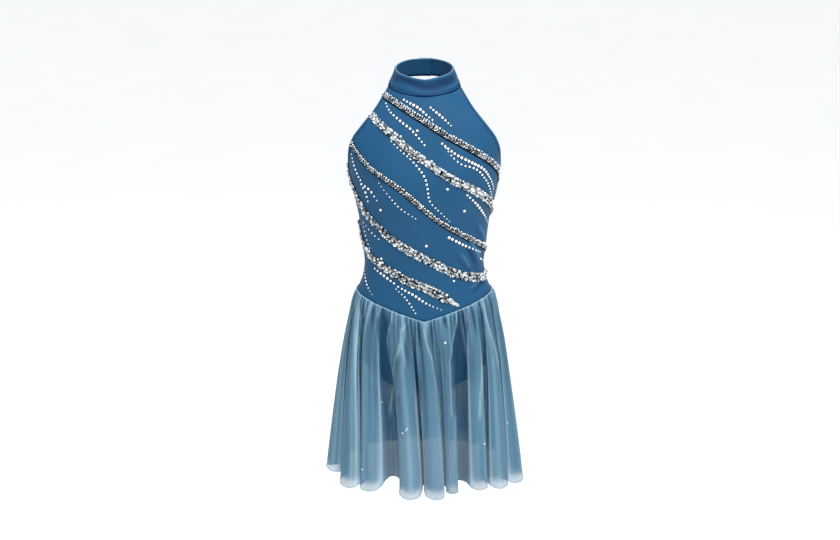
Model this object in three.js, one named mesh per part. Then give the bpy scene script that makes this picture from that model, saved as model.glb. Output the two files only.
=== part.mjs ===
// Lyrical dance dress: a halter leotard with a stand collar and a pointed waist, and a short gathered skirt
// of sheer mesh sewn into the waist seam. The garment keeps the hollow form that it has when it is worn.
// Millimetres, +Z up. The wearer faces -Y, and the wearer's left is +X.
// The origin is on the neck's axis, level with the side of the collar's lower seam.
// Angles round the figure start at the front centre, 0 degrees, and pass the left side, 90, and the back, 180.

import * as THREE from 'three';

// Cloth: wall thickness and the gaps left at the seams.
const leotardCloth = 1.4;
const meshCloth = 1.0;
const collarCloth = 2.2;
const seamGap = 0.3;

// Main heights.
const waistSeamSide = -415;
const waistPointFront = -459;
const waistSeamBack = -425;
const hemHeight = -800;
const legEdgeSide = -553;
const crotchHeight = -640;

// Half widths and depths of the figure at the waist seam.
const seamHalfWidth = 135;
const seamFrontDepth = 95;
const seamBackDepth = 88;

const degree = Math.PI / 180;
const mix = (a, b, share) => a + (b - a) * share;

// A smooth curve through one column of a table, read against its key column. It never overshoots a row.
function curveThrough(rows, key, column) {
  const xs = rows.map((row) => row[key]);
  const ys = rows.map((row) => row[column]);
  const steps = xs.slice(1).map((x, i) => (ys[i + 1] - ys[i]) / (x - xs[i]));
  const slopes = ys.map((_, i) => {
    const before = steps[Math.max(i - 1, 0)];
    const after = steps[Math.min(i, steps.length - 1)];
    return before * after <= 0 ? 0 : (2 * before * after) / (before + after);
  });
  return (x) => {
    let i = 0;
    while (i < xs.length - 2 && x > xs[i + 1]) i += 1;
    const span = xs[i + 1] - xs[i];
    const t = (x - xs[i]) / span;
    const rise = (t * t) * (3 - 2 * t);
    return mix(ys[i], ys[i + 1], rise)
      + span * slopes[i] * t * (1 - t) * (1 - t)
      - span * slopes[i + 1] * t * t * (1 - t);
  };
}

function curvesThrough(rows, key) {
  const columns = Object.keys(rows[0]).filter((name) => name !== key);
  return Object.fromEntries(columns.map((name) => [name, curveThrough(rows, key, name)]));
}

// Radius of a soft-cornered oval of unit half width and depth, at an angle. A roundness of 2 is an ellipse.
function ovalRadius(angle, roundness) {
  const across = Math.abs(Math.sin(angle)) ** roundness;
  const along = Math.abs(Math.cos(angle)) ** roundness;
  return (across + along) ** (-1 / roundness);
}

const evenly = (count, from = 0, to = 1) => Array.from({ length: count + 1 }, (_, i) => mix(from, to, i / count));

// A cloth wall: a closed solid over a surface given as pointAt(across, down). Across runs with the angle
// round the figure and down runs towards the hem. The share says how much of the wall lies outside it.
function clothWall({ pointAt, across, down, thickness, outside = 0, trim = (point) => point }) {
  const small = 1e-4;
  const outer = [];
  const inner = [];
  for (const v of down) {
    for (const u of across) {
      const alongAcross = pointAt(u + small, v).sub(pointAt(u - small, v));
      const alongDown = pointAt(u, v + small).sub(pointAt(u, v - small));
      const normal = alongDown.cross(alongAcross).normalize();
      const point = pointAt(u, v);
      outer.push(trim(point.clone().addScaledVector(normal, thickness * outside)));
      inner.push(trim(point.clone().addScaledVector(normal, thickness * (outside - 1))));
    }
  }
  const columns = across.length;
  const rows = down.length;
  const size = columns * rows;
  const at = (i, j) => j * columns + i;
  const faces = [];
  for (let j = 0; j < rows - 1; j += 1) {
    for (let i = 0; i < columns - 1; i += 1) {
      const [a, b, c, d] = [at(i, j), at(i + 1, j), at(i + 1, j + 1), at(i, j + 1)];
      faces.push(a, d, b, b, d, c);
      faces.push(a + size, b + size, d + size, b + size, c + size, d + size);
    }
  }
  const closeEdge = (a, b) => faces.push(a, b, b + size, a, b + size, a + size);
  for (let i = 0; i < columns - 1; i += 1) {
    closeEdge(at(i, 0), at(i + 1, 0));
    closeEdge(at(i + 1, rows - 1), at(i, rows - 1));
  }
  for (let j = 0; j < rows - 1; j += 1) {
    closeEdge(at(0, j + 1), at(0, j));
    closeEdge(at(columns - 1, j), at(columns - 1, j + 1));
  }
  const geometry = new THREE.BufferGeometry().setFromPoints([...outer, ...inner]);
  geometry.setIndex(faces);
  geometry.computeVertexNormals();
  return geometry;
}

// Height of the waist seam: a straight-sided point in front, a shallow curve behind.
function waistSeamHeight(x, isFront) {
  const share = Math.min(Math.abs(x) / seamHalfWidth, 1);
  return isFront ? mix(waistPointFront, waistSeamSide, share) : mix(waistSeamBack, waistSeamSide, share ** 2);
}

// Walls stop just short of the side seams, at the plane y = 0, and keep above or below the waist seam.
const upToSideSeam = (point, isFront) => point.setY(
  isFront ? Math.min(point.y, -seamGap / 2) : Math.max(point.y, seamGap / 2));
const downToWaistSeam = (isFront) => (point) => upToSideSeam(
  point.setZ(Math.max(point.z, waistSeamHeight(point.x, isFront))), isFront);
const belowCollar = (point) => point.setZ(Math.min(point.z, collarSeamHeight(point.y) - seamGap));
const aboveBodice = (point) => point.setZ(Math.max(point.z, collarSeamHeight(point.y)));
const upToWaistSeam = (isFront, gap) => (point) => upToSideSeam(
  point.setZ(Math.min(point.z, waistSeamHeight(point.x, isFront) - gap)), isFront);

// Collar: one band round the neck, lapped at the back, leaning forward with the neck.
const collar = {
  lowHalfWidth: 70.4, lowFront: 66.5, lowBack: 58, lowSideHeight: 0.8, lowLean: 0.18,
  topHalfWidth: 58.2, topFront: 58, topBack: 50, topSideHeight: 34.5, topLean: 0.22,
  frontNotch: 2.5, notchWidth: 24 * degree,
  lap: 11 * degree, lapRamp: 18 * degree, lapOffset: 1.5,
};

// Height of the seam between the collar and the bodice.
const collarSeamHeight = (y) => collar.lowSideHeight + collar.lowLean * y;

// Front of the bodice. A row is one line across the panel, from its edge at the armhole or side seam to its middle.
// wrap is how far the panel reaches round the oval, and pointed says how much the row follows the waist's point.
const frontRows = [
  { down: 0, sideX: 69.5, sideY: -5, sideZ: 0, midY: -66, midZ: -12, wrap: 86, pointed: 0, bust: 0 },
  { down: 33, sideX: 97, sideY: -45, sideZ: -39, midY: -79, midZ: -46, wrap: 62, pointed: 0, bust: 0 },
  { down: 68, sideX: 123, sideY: -59, sideZ: -70, midY: -89, midZ: -81, wrap: 58, pointed: 0, bust: 0.1 },
  { down: 100, sideX: 141.5, sideY: -57, sideZ: -97, midY: -97, midZ: -113, wrap: 62, pointed: 0, bust: 0.4 },
  { down: 129, sideX: 149.5, sideY: -41, sideZ: -124, midY: -104, midZ: -142, wrap: 74, pointed: 0, bust: 0.8 },
  { down: 153, sideX: 151, sideY: -19, sideZ: -151, midY: -109, midZ: -166, wrap: 85, pointed: 0, bust: 1 },
  { down: 172, sideX: 149.7, sideY: 0, sideZ: -176, midY: -111, midZ: -185, wrap: 90, pointed: 0, bust: 1 },
  { down: 196, sideX: 144, sideY: 0, sideZ: -204, midY: -110, midZ: -209, wrap: 90, pointed: 0, bust: 0.8 },
  { down: 219, sideX: 138.7, sideY: 0, sideZ: -229, midY: -107, midZ: -232, wrap: 90, pointed: 0, bust: 0.45 },
  { down: 256, sideX: 131, sideY: 0, sideZ: -268, midY: -99, midZ: -269, wrap: 90, pointed: 0, bust: 0.1 },
  { down: 303, sideX: 125.5, sideY: 0, sideZ: -316, midY: -90, midZ: -316, wrap: 90, pointed: 0, bust: 0 },
  { down: 349, sideX: 121, sideY: 0, sideZ: -360, midY: -85.5, midZ: -362, wrap: 90, pointed: 0.2, bust: 0 },
  { down: 392, sideX: 125, sideY: 0, sideZ: -388, midY: -88, midZ: -405, wrap: 90, pointed: 0.7, bust: 0 },
  {
    down: 446, sideX: seamHalfWidth, sideY: 0, sideZ: waistSeamSide,
    midY: -seamFrontDepth, midZ: waistPointFront, wrap: 90, pointed: 1, bust: 0,
  },
];
const bodiceRoundness = 2.2;
const bustFullness = 7;
const bustSpread = 0.42;
const bustWidth = 0.26;

const frontLines = curvesThrough(frontRows, 'down');
const frontLength = frontRows.at(-1).down;

function frontBodicePoint(across, down) {
  const row = down * frontLength;
  const wrap = frontLines.wrap(row) * degree;
  const angle = wrap * across;
  const edge = ovalRadius(wrap, bodiceRoundness);
  const radius = ovalRadius(angle, bodiceRoundness);
  const sideways = (radius * Math.sin(angle)) / (edge * Math.sin(wrap));
  const edgeForward = edge * Math.cos(wrap);
  const forward = (radius * Math.cos(angle) - edgeForward) / (1 - edgeForward);
  const sideY = frontLines.sideY(row);
  const fullness = Math.exp(-(((Math.abs(sideways) - bustSpread) / bustWidth) ** 2));
  const y = mix(sideY, frontLines.midY(row), forward) - bustFullness * frontLines.bust(row) * fullness;
  const bend = mix(sideways ** 2, Math.abs(sideways), frontLines.pointed(row));
  const z = mix(frontLines.midZ(row), frontLines.sideZ(row), bend);
  return new THREE.Vector3(frontLines.sideX(row) * sideways, y, z);
}

// Back of the bodice: a low back, from under one arm across to the other.
const backRows = [
  { down: 0, sideX: 149.7, sideZ: -176, midY: 92, midZ: -196 },
  { down: 0.13, sideX: 144, sideZ: -204, midY: 91.5, midZ: -221 },
  { down: 0.25, sideX: 138.7, sideZ: -229, midY: 89, midZ: -243 },
  { down: 0.42, sideX: 131, sideZ: -268, midY: 84, midZ: -278 },
  { down: 0.6, sideX: 125.5, sideZ: -316, midY: 76, midZ: -320 },
  { down: 0.78, sideX: 121, sideZ: -360, midY: 72, midZ: -363 },
  { down: 0.9, sideX: 125, sideZ: -388, midY: 77, midZ: -394 },
  { down: 1, sideX: seamHalfWidth, sideZ: waistSeamSide, midY: seamBackDepth, midZ: waistSeamBack },
];
const backLines = curvesThrough(backRows, 'down');

function backBodicePoint(angle, down) {
  const radius = ovalRadius(angle, bodiceRoundness);
  const sideways = radius * Math.sin(angle);
  const y = -backLines.midY(down) * radius * Math.cos(angle);
  const z = mix(backLines.midZ(down), backLines.sideZ(down), sideways ** 2);
  return new THREE.Vector3(backLines.sideX(down) * sideways, y, z);
}

// Brief: each half hangs from the waist seam on three guide lines and ends at the leg edge and the crotch.
// share is the place round the half, 0 in the middle and 1 at the side seam.
const briefShapes = {
  front: {
    depths: { seam: seamFrontDepth, hip: 101, low: 100 },
    hipHeight: { side: -455, middle: -540 },
    lowRows: [
      { share: 0, z: -650 }, { share: 0.14, z: -640 }, { share: 0.26, z: -616 }, { share: 0.4, z: -587 },
      { share: 0.56, z: -560 }, { share: 0.72, z: -537 }, { share: 0.87, z: -520 }, { share: 1, z: -510 },
    ],
    edgeRows: [
      { share: 0.14, x: 27, y: 0, z: crotchHeight }, { share: 0.26, x: 32, y: 45, z: -628 },
      { share: 0.4, x: 58, y: 80, z: -604 }, { share: 0.56, x: 88, y: 85, z: -583 },
      { share: 0.72, x: 115, y: 64, z: -567 }, { share: 0.87, x: 140, y: 34, z: -557 },
      { share: 1, x: 151, y: 0, z: legEdgeSide },
    ],
  },
  back: {
    depths: { seam: seamBackDepth, hip: 106, low: 130 },
    hipHeight: { side: -455, middle: -490 },
    lowRows: [
      { share: 0, z: -635 }, { share: 0.14, z: -631 }, { share: 0.26, z: -618 }, { share: 0.4, z: -598 },
      { share: 0.56, z: -574 }, { share: 0.72, z: -547 }, { share: 0.87, z: -524 }, { share: 1, z: -510 },
    ],
    edgeRows: [
      { share: 0.14, x: 27, y: 0, z: crotchHeight }, { share: 0.26, x: 35, y: 42, z: -636 },
      { share: 0.4, x: 62, y: 82, z: -624 }, { share: 0.56, x: 96, y: 96, z: -602 },
      { share: 0.72, x: 121, y: 72, z: -578 }, { share: 0.87, x: 142, y: 40, z: -560 },
      { share: 1, x: 151, y: 0, z: legEdgeSide },
    ],
  },
};
const briefHipHalfWidth = 139;
const briefLowHalfWidth = 149;

function briefPoint(shape, isFront, across, down) {
  const { depths, hipHeight } = shape;
  const forward = isFront ? -1 : 1;
  const share = Math.min(Math.abs(across), 1);
  const hand = Math.sign(across) || 1;
  const angle = across * 90 * degree;
  const radius = ovalRadius(angle, bodiceRoundness);
  const ringPoint = (halfWidth, depth, z) => new THREE.Vector3(
    halfWidth * radius * Math.sin(angle), forward * depth * radius * Math.cos(angle), z);
  const seam = ringPoint(seamHalfWidth, depths.seam, 0);
  seam.z = waistSeamHeight(seam.x, isFront) - seamGap;
  const hip = ringPoint(briefHipHalfWidth, depths.hip, mix(hipHeight.middle, hipHeight.side, share));
  const low = ringPoint(briefLowHalfWidth, depths.low, shape.low(share));
  const corner = shape.edgeRows[0];
  const edge = share < corner.share
    ? new THREE.Vector3((corner.x * share) / corner.share, 0, corner.z)
    : new THREE.Vector3(shape.edge.x(share), forward * shape.edge.y(share), shape.edge.z(share));
  edge.x *= hand;
  const left = 1 - down;
  return seam.multiplyScalar(left ** 3)
    .addScaledVector(hip, 3 * down * left ** 2)
    .addScaledVector(low, 3 * down ** 2 * left)
    .addScaledVector(edge, down ** 3);
}

for (const shape of Object.values(briefShapes)) {
  shape.low = curveThrough(shape.lowRows, 'share', 'z');
  shape.edge = curvesThrough(shape.edgeRows, 'share');
}

// Skirt: between a ring that its valleys touch and a ring that its ridges touch, at shares of its length.
// gather is half the height of the small gathers that fade out below the seam.
const skirtRings = [
  {
    down: 0, ridgeX: 136.8, ridgeFront: 96.8, ridgeBack: 89.8,
    valleyX: 136.5, valleyFront: 96.5, valleyBack: 89.5, gather: 0.6, roundness: bodiceRoundness,
  },
  {
    down: 0.035, ridgeX: 143.5, ridgeFront: 104, ridgeBack: 99,
    valleyX: 140, valleyFront: 99.5, valleyBack: 95.5, gather: 1.4, roundness: bodiceRoundness,
  },
  {
    down: 0.1, ridgeX: 151, ridgeFront: 114, ridgeBack: 113,
    valleyX: 145, valleyFront: 102.5, valleyBack: 105, gather: 1.8, roundness: bodiceRoundness,
  },
  {
    down: 0.2, ridgeX: 161, ridgeFront: 127, ridgeBack: 129,
    valleyX: 150, valleyFront: 105, valleyBack: 113, gather: 1.8, roundness: bodiceRoundness,
  },
  {
    down: 0.33, ridgeX: 171, ridgeFront: 138, ridgeBack: 141,
    valleyX: 154.5, valleyFront: 106, valleyBack: 116, gather: 1.2, roundness: bodiceRoundness,
  },
  {
    down: 0.5, ridgeX: 182.5, ridgeFront: 149, ridgeBack: 152,
    valleyX: 157.5, valleyFront: 106, valleyBack: 117, gather: 0.4, roundness: 2.15,
  },
  {
    down: 0.75, ridgeX: 197.5, ridgeFront: 161, ridgeBack: 164,
    valleyX: 161, valleyFront: 107, valleyBack: 118, gather: 0, roundness: 2.06,
  },
  {
    down: 1, ridgeX: 210.5, ridgeFront: 171, ridgeBack: 174,
    valleyX: 165, valleyFront: 109, valleyBack: 120, gather: 0, roundness: 2,
  },
];

// Front folds, from the right side seam to the left one: where each ridge and the valley after it lie at the seam
// and at the hem, in degrees, how far out they reach from the valley ring to the ridge ring, and how far the hem
// hangs below its mean height there.
const frontFolds = [
  { ridgeTop: -80, ridgeHem: -73, out: 1, hang: -8, valleyTop: -73, valleyHem: -61.5, in: 0.22, valleyHang: -8 },
  { ridgeTop: -66, ridgeHem: -50, out: 0.98, hang: 9, valleyTop: -57, valleyHem: -42, in: 0.2, valleyHang: -4 },
  { ridgeTop: -46, ridgeHem: -33.5, out: 1, hang: 3, valleyTop: -33.5, valleyHem: -21.5, in: 0, valleyHang: -12 },
  { ridgeTop: -21, ridgeHem: -8.5, out: 1, hang: 11, valleyTop: -9.4, valleyHem: -0.5, in: 0.16, valleyHang: 0 },
  { ridgeTop: -0.5, ridgeHem: 7.5, out: 1, hang: 11, valleyTop: 8, valleyHem: 13, in: 0.34, valleyHang: -2 },
  { ridgeTop: 18, ridgeHem: 17, out: 0.74, hang: 7, valleyTop: 29.8, valleyHem: 25, in: 0, valleyHang: -2 },
  { ridgeTop: 39.5, ridgeHem: 33.5, out: 0.98, hang: 2, valleyTop: 50, valleyHem: 42.5, in: 0.12, valleyHang: -5 },
  { ridgeTop: 58, ridgeHem: 51, out: 1, hang: 11, valleyTop: 66, valleyHem: 61, in: 0.2, valleyHang: 0 },
  { ridgeTop: 77, ridgeHem: 72.5, out: 1, hang: 20, valleyTop: 90, valleyHem: 90, in: 0.14, valleyHang: 0 },
];
const sideValley = { reach: 0.14, hang: 0 };

// Back folds: even ones, each a little different from the next. unevenness gives the most that each value sways.
const backFoldCount = 10;
const evenFold = { out: 0.93, in: 0.14, hang: 11 };
const unevenness = { out: 0.07, in: 0.1, hang: 2, valleyHang: 3, ridgeShift: 0.12, valleyShift: 0.1 };
const backFolds = Array.from({ length: backFoldCount }, (_, i) => {
  const width = 180 / backFoldCount;
  const start = 90 + i * width;
  const ridgeSway = Math.sin(2.4 * i + 0.6);
  const isLast = i === backFoldCount - 1;
  const valleySway = isLast ? 0 : Math.sin(1.7 * i);
  return {
    ridgeTop: start + width / 2,
    ridgeHem: start + width * (1 / 2 + unevenness.ridgeShift * ridgeSway),
    out: evenFold.out + unevenness.out * ridgeSway,
    hang: evenFold.hang + unevenness.hang * ridgeSway,
    valleyTop: start + width,
    valleyHem: start + width * (1 + unevenness.valleyShift * valleySway),
    in: evenFold.in + unevenness.in * valleySway,
    valleyHang: isLast ? 0 : -unevenness.valleyHang * ridgeSway,
  };
});

// The turns of a run of folds: valley, ridge, valley and so on, from one side seam to the other.
function foldTurns(folds, first) {
  return [first, ...folds.flatMap((fold) => [
    { top: fold.ridgeTop, hem: fold.ridgeHem, reach: fold.out, hang: fold.hang },
    { top: fold.valleyTop, hem: fold.valleyHem, reach: fold.in, hang: fold.valleyHang },
  ])];
}
const frontTurns = foldTurns(frontFolds, { ...sideValley, top: -90, hem: -90 });
const backTurns = foldTurns(backFolds, { ...sideValley, top: 90, hem: 90 });

// How round the folds are: steep flanks, ridges wider than valleys, less of both at the seam, and the pace at
// which they swing from their places at the seam to those at the hem.
const flankSteepness = 0.6;
const ridgeWidening = 0.4;
const roundnessAtSeam = 0.5;
const swingPace = 1.6;
const gathersPerFold = 3;
const ringLines = curvesThrough(skirtRings, 'down');

// turn counts valleys and ridges: even numbers are valleys, odd ones ridges.
function skirtPoint(turns, turn, down) {
  const i = Math.max(0, Math.min(turns.length - 2, Math.floor(turn)));
  const share = turn - i;
  const [from, to] = [turns[i], turns[i + 1]];
  const rise = (1 - Math.cos(Math.PI * share)) / 2;
  const towardsRidge = i % 2 === 0 ? -1 : 1;
  const swing = share + (flankSteepness * Math.sin(2 * Math.PI * share)) / (2 * Math.PI)
    + (towardsRidge * ridgeWidening * Math.sin(Math.PI * share)) / Math.PI;
  const topAngle = mix(from.top, to.top, mix(share, swing, roundnessAtSeam));
  const hemAngle = mix(from.hem, to.hem, swing);
  const spread = 1 - Math.max(0, 1 - down) ** swingPace;
  const angle = mix(topAngle, hemAngle, spread) * degree;
  const reach = mix(from.reach, to.reach, rise);
  const hang = mix(from.hang, to.hang, rise);
  const gather = ringLines.gather(down) * Math.cos(gathersPerFold * Math.PI * (turn - 1));
  const radius = ovalRadius(angle, ringLines.roundness(down));
  const isFront = turns === frontTurns;
  const halfWidth = mix(ringLines.valleyX(down), ringLines.ridgeX(down), reach) + gather;
  const depth = isFront
    ? mix(ringLines.valleyFront(down), ringLines.ridgeFront(down), reach) + gather
    : mix(ringLines.valleyBack(down), ringLines.ridgeBack(down), reach) + gather;
  const x = halfWidth * radius * Math.sin(angle);
  const y = -depth * radius * Math.cos(angle);
  const seamX = seamHalfWidth * ovalRadius(topAngle * degree, bodiceRoundness) * Math.sin(topAngle * degree);
  const z = mix(waistSeamHeight(seamX, isFront) - 2 * seamGap, hemHeight - hang, down);
  return new THREE.Vector3(x, y, z);
}

function collarPoint(angle, down) {
  const up = 1 - down;
  const overEnd = THREE.MathUtils.smoothstep(angle, Math.PI - collar.lap - collar.lapRamp, Math.PI - collar.lap);
  const underEnd = THREE.MathUtils.smoothstep(-angle, Math.PI - collar.lap - collar.lapRamp, Math.PI - collar.lap);
  const lift = collar.lapOffset * (overEnd - underEnd);
  const forward = Math.cos(angle);
  const depth = forward > 0
    ? mix(collar.lowFront, collar.topFront, up)
    : mix(collar.lowBack, collar.topBack, up);
  const x = (mix(collar.lowHalfWidth, collar.topHalfWidth, up) + lift) * Math.sin(angle);
  const y = -(depth + lift) * forward;
  const notch = collar.frontNotch * Math.max(0, 1 - Math.abs(angle) / collar.notchWidth);
  const low = collarSeamHeight(y);
  const top = collar.topSideHeight + collar.topLean * y - notch;
  return new THREE.Vector3(x, y, mix(low, top, up));
}

// Buttons that close the lap, on the outer end.
const button = { radius: 4.6, bevel: 0.5, rim: 1.2, crown: 2.6, domeSteps: 4, sides: 20 };

function buttonGeometry() {
  const { radius, bevel, rim, crown, domeSteps, sides } = button;
  const profile = [[0, 0], [radius - bevel, 0], [radius, bevel], [radius, rim]];
  for (let i = 1; i < domeSteps; i += 1) {
    const turn = (i / domeSteps) * 90 * degree;
    profile.push([radius * Math.cos(turn), mix(rim, crown, Math.sin(turn))]);
  }
  profile.push([0, crown]);
  return new THREE.LatheGeometry(profile.map(([x, y]) => new THREE.Vector2(x, y)), sides).rotateX(Math.PI / 2);
}

// Colours and finishes.
const stretchBlue = new THREE.MeshStandardMaterial({ color: '#3a6a98', roughness: 0.55, metalness: 0 });
const meshBlue = new THREE.MeshStandardMaterial({
  color: '#7ba6bf', roughness: 0.7, metalness: 0, transparent: true, opacity: 0.6, side: THREE.DoubleSide,
});
const buttonPearl = new THREE.MeshStandardMaterial({ color: '#dfe3e6', roughness: 0.25, metalness: 0.1 });

const dress = new THREE.Group();

function addPiece(name, geometry, material) {
  const piece = new THREE.Mesh(geometry, material);
  piece.name = name;
  dress.add(piece);
  return piece;
}

// Columns across and rows down each wall.
const bodiceColumns = 26;
const frontBodiceRows = 18;
const backBodiceRows = 12;
const briefRows = 8;
const collarColumns = 64;
const collarRows = 3;
const skirtColumnsPerTurn = 2 * gathersPerFold;

addPiece('front_bodice', clothWall({
  pointAt: frontBodicePoint,
  across: evenly(bodiceColumns, -1, 1),
  down: evenly(frontBodiceRows),
  thickness: leotardCloth,
  trim: (point) => downToWaistSeam(true)(belowCollar(point)),
}), stretchBlue);

addPiece('back_bodice', clothWall({
  pointAt: backBodicePoint,
  across: evenly(bodiceColumns, Math.PI / 2, 1.5 * Math.PI),
  down: evenly(backBodiceRows),
  thickness: leotardCloth,
  trim: downToWaistSeam(false),
}), stretchBlue);

// Seen from above, both halves of the brief run the same way round: the back one from the left to the right.
for (const [half, isFront] of [['front', true], ['back', false]]) {
  addPiece(`${half}_brief`, clothWall({
    pointAt: (across, down) => briefPoint(briefShapes[half], isFront, isFront ? across : -across, down),
    across: evenly(bodiceColumns, -1, 1),
    down: evenly(briefRows),
    thickness: leotardCloth,
    trim: upToWaistSeam(isFront, seamGap),
  }), stretchBlue);
}

for (const [half, turns, isFront] of [['front', frontTurns, true], ['back', backTurns, false]]) {
  const turnCount = turns.length - 1;
  addPiece(`${half}_skirt`, clothWall({
    pointAt: (turn, down) => skirtPoint(turns, turn, down),
    across: evenly(turnCount * skirtColumnsPerTurn, 0, turnCount),
    down: skirtRings.map((ring) => ring.down),
    thickness: meshCloth,
    outside: 0.5,
    trim: upToWaistSeam(isFront, 2 * seamGap),
  }), meshBlue);
}

addPiece('collar', clothWall({
  pointAt: collarPoint,
  across: evenly(collarColumns, -Math.PI - collar.lap, Math.PI + collar.lap),
  down: evenly(collarRows),
  thickness: collarCloth,
  trim: aboveBodice,
}), stretchBlue);

// The buttons face straight out from the collar's outer end, at two shares of its height.
for (const [place, down] of [['upper', 0.3], ['lower', 0.7]]) {
  const slope = collarPoint(Math.PI, 0).sub(collarPoint(Math.PI, 1));
  const outward = new THREE.Vector3(0, slope.z, -slope.y).normalize();
  const piece = addPiece(`collar_button_${place}`, buttonGeometry(), buttonPearl);
  piece.rotation.x = Math.atan2(-outward.y, outward.z);
  piece.position.copy(collarPoint(Math.PI, down)).addScaledVector(outward, seamGap);
}

export default dress;
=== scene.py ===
"""Lyrical dance dress: the finished looks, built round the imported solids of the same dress.

A halter leotard of stretch jersey with a stand collar, sequin bands and crystals, and a gathered skirt
of sheer mesh. Metres, +Z up. The wearer faces -Y, and the wearer's left is +X. The tables and sizes of
the cut are in millimetres, as a maker writes them, and MM turns them to metres.
"""
import sys
import logging
import math
from dataclasses import dataclass
from enum import Enum
from typing import Any, Callable, Sequence

import bpy
import numpy as np
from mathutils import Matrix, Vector


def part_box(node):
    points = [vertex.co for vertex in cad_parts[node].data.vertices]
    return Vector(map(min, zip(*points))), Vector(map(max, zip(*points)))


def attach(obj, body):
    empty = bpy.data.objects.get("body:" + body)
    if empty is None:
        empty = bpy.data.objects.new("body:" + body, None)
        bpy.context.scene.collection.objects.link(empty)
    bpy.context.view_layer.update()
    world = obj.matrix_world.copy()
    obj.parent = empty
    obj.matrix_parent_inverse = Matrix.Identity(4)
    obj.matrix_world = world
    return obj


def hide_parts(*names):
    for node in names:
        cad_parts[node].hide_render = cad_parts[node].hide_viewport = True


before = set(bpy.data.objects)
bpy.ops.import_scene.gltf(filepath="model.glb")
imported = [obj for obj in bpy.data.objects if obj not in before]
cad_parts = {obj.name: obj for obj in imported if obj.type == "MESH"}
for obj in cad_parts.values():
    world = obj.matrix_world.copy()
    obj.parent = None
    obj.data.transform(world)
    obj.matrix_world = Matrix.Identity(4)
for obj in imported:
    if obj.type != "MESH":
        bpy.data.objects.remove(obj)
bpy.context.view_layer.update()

log = logging.getLogger("dance_dress")

MM = 0.001
SEED = 11
BODY = "root"
JERSEY_SLOT = "stretch_jersey"
MESH_SLOT = "sheer_mesh"
FULL_TURN = 2 * math.pi

Array = np.ndarray
Surface = Callable[[Array, Array], Array]
Piece = bpy.types.Object
Material = bpy.types.Material
Tree = bpy.types.NodeTree
Socket = bpy.types.NodeSocket
Random = np.random.Generator
Placement = tuple[Array, Array, Array]


class Side(Enum):
    """The half of the dress that a piece belongs to."""

    FRONT = "front"
    BACK = "back"


class BandStyle(Enum):
    """How the sequins of a band are sewn on."""

    CLUSTER = "cluster"
    HERRINGBONE = "herringbone"


class Sewing(Enum):
    """The kind of a row of stitches."""

    ZIGZAG = "zigzag"
    SLANTED = "slanted"


def clear_selection() -> None:
    """Deselects everything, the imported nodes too."""
    bpy.ops.object.select_all(action="DESELECT")


def take(piece: Piece) -> None:
    """Makes a piece the only selected and the active object.

    Args:
        piece: The piece.
    """
    clear_selection()
    piece.select_set(True)
    bpy.context.view_layer.objects.active = piece


def open_whole() -> None:
    """Opens the active mesh for editing, with all of it selected."""
    bpy.ops.object.mode_set(mode="EDIT")
    bpy.ops.mesh.select_all(action="SELECT")


def open_top() -> None:
    """Opens the active mesh for editing, with only the faces that look up selected."""
    for face in bpy.context.object.data.polygons:
        face.select = face.normal.z > 0.9
    bpy.ops.object.mode_set(mode="EDIT")
    bpy.ops.mesh.select_mode(type="FACE")


def close_mesh() -> None:
    """Ends the editing of the active mesh."""
    bpy.ops.object.mode_set(mode="OBJECT")


def finish_with(piece: Piece, kind: str, **settings: Any) -> None:
    """Finishes a piece with one modifier and applies it.

    Args:
        piece: The piece to finish.
        kind: The modifier's type.
        settings: The modifier's settings by name.
    """
    take(piece)
    bpy.ops.object.modifier_add(type=kind)
    modifier = piece.modifiers[-1]
    for name, value in settings.items():
        setattr(modifier, name, value)
    bpy.ops.object.modifier_apply(modifier=modifier.name)


def mix(a: Any, b: Any, share: Any) -> Any:
    """The value a share of the way from a to b."""
    return a + (b - a) * share


def smoothstep(at: Array, low: float, high: float) -> Array:
    """A soft step from 0 at low to 1 at high."""
    t = np.clip((at - low) / (high - low), 0, 1)
    return t * t * (3 - 2 * t)


def unit(vectors: Array) -> Array:
    """The vectors at a length of 1."""
    return vectors / np.linalg.norm(vectors, axis=-1, keepdims=True)


def through(values: Array, slopes: Array, i: Array, span: Array, t: Array) -> Array:
    """A smooth curve's values a share t of the way from stop i to the next one, which is a span away."""
    bend = span * slopes[i] * t * (1 - t) ** 2 - span * slopes[i + 1] * t ** 2 * (1 - t)
    return mix(values[i], values[i + 1], t * t * (3 - 2 * t)) + bend


def oval_radius(angle: Array, roundness: Any) -> Array:
    """Radius of a soft-cornered oval of unit half width and depth. A roundness of 2 is an ellipse."""
    return (np.abs(np.sin(angle)) ** roundness + np.abs(np.cos(angle)) ** roundness) ** (-1 / roundness)


class SmoothTable:
    """Smooth curves through the columns of a short table. They never overshoot a row."""

    def __init__(self, columns: str, rows: Sequence[Sequence[float]]) -> None:
        """Keeps the rows.

        Args:
            columns: The columns' names with spaces between. The first one is the key.
            rows: The rows, in order of the key.
        """
        values = np.array(rows, float).T
        self.keys = values[0]
        self.columns = dict(zip(columns.split()[1:], values[1:]))

    def at(self, column: str, key: Array) -> Array:
        """Reads a column.

        Args:
            column: The column's name.
            key: Where to read it.

        Returns:
            The column's smooth values there.
        """
        keys, values = self.keys, self.columns[column]
        steps = np.diff(values) / np.diff(keys)
        before = np.concatenate([steps[:1], steps])
        after = np.concatenate([steps, steps[-1:]])
        total = np.where(before + after == 0, 1, before + after)
        slopes = np.where(before * after > 0, 2 * before * after / total, 0.0)
        i = np.clip(np.searchsorted(keys, key, side="left") - 1, 0, len(keys) - 2)
        span = keys[i + 1] - keys[i]
        return through(values, slopes, i, span, (key - keys[i]) / span)

    def row_at(self, key: Array) -> dict[str, Array]:
        """Every column's smooth values at a key, by the column's name."""
        return {column: self.at(column, key) for column in self.columns}


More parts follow.
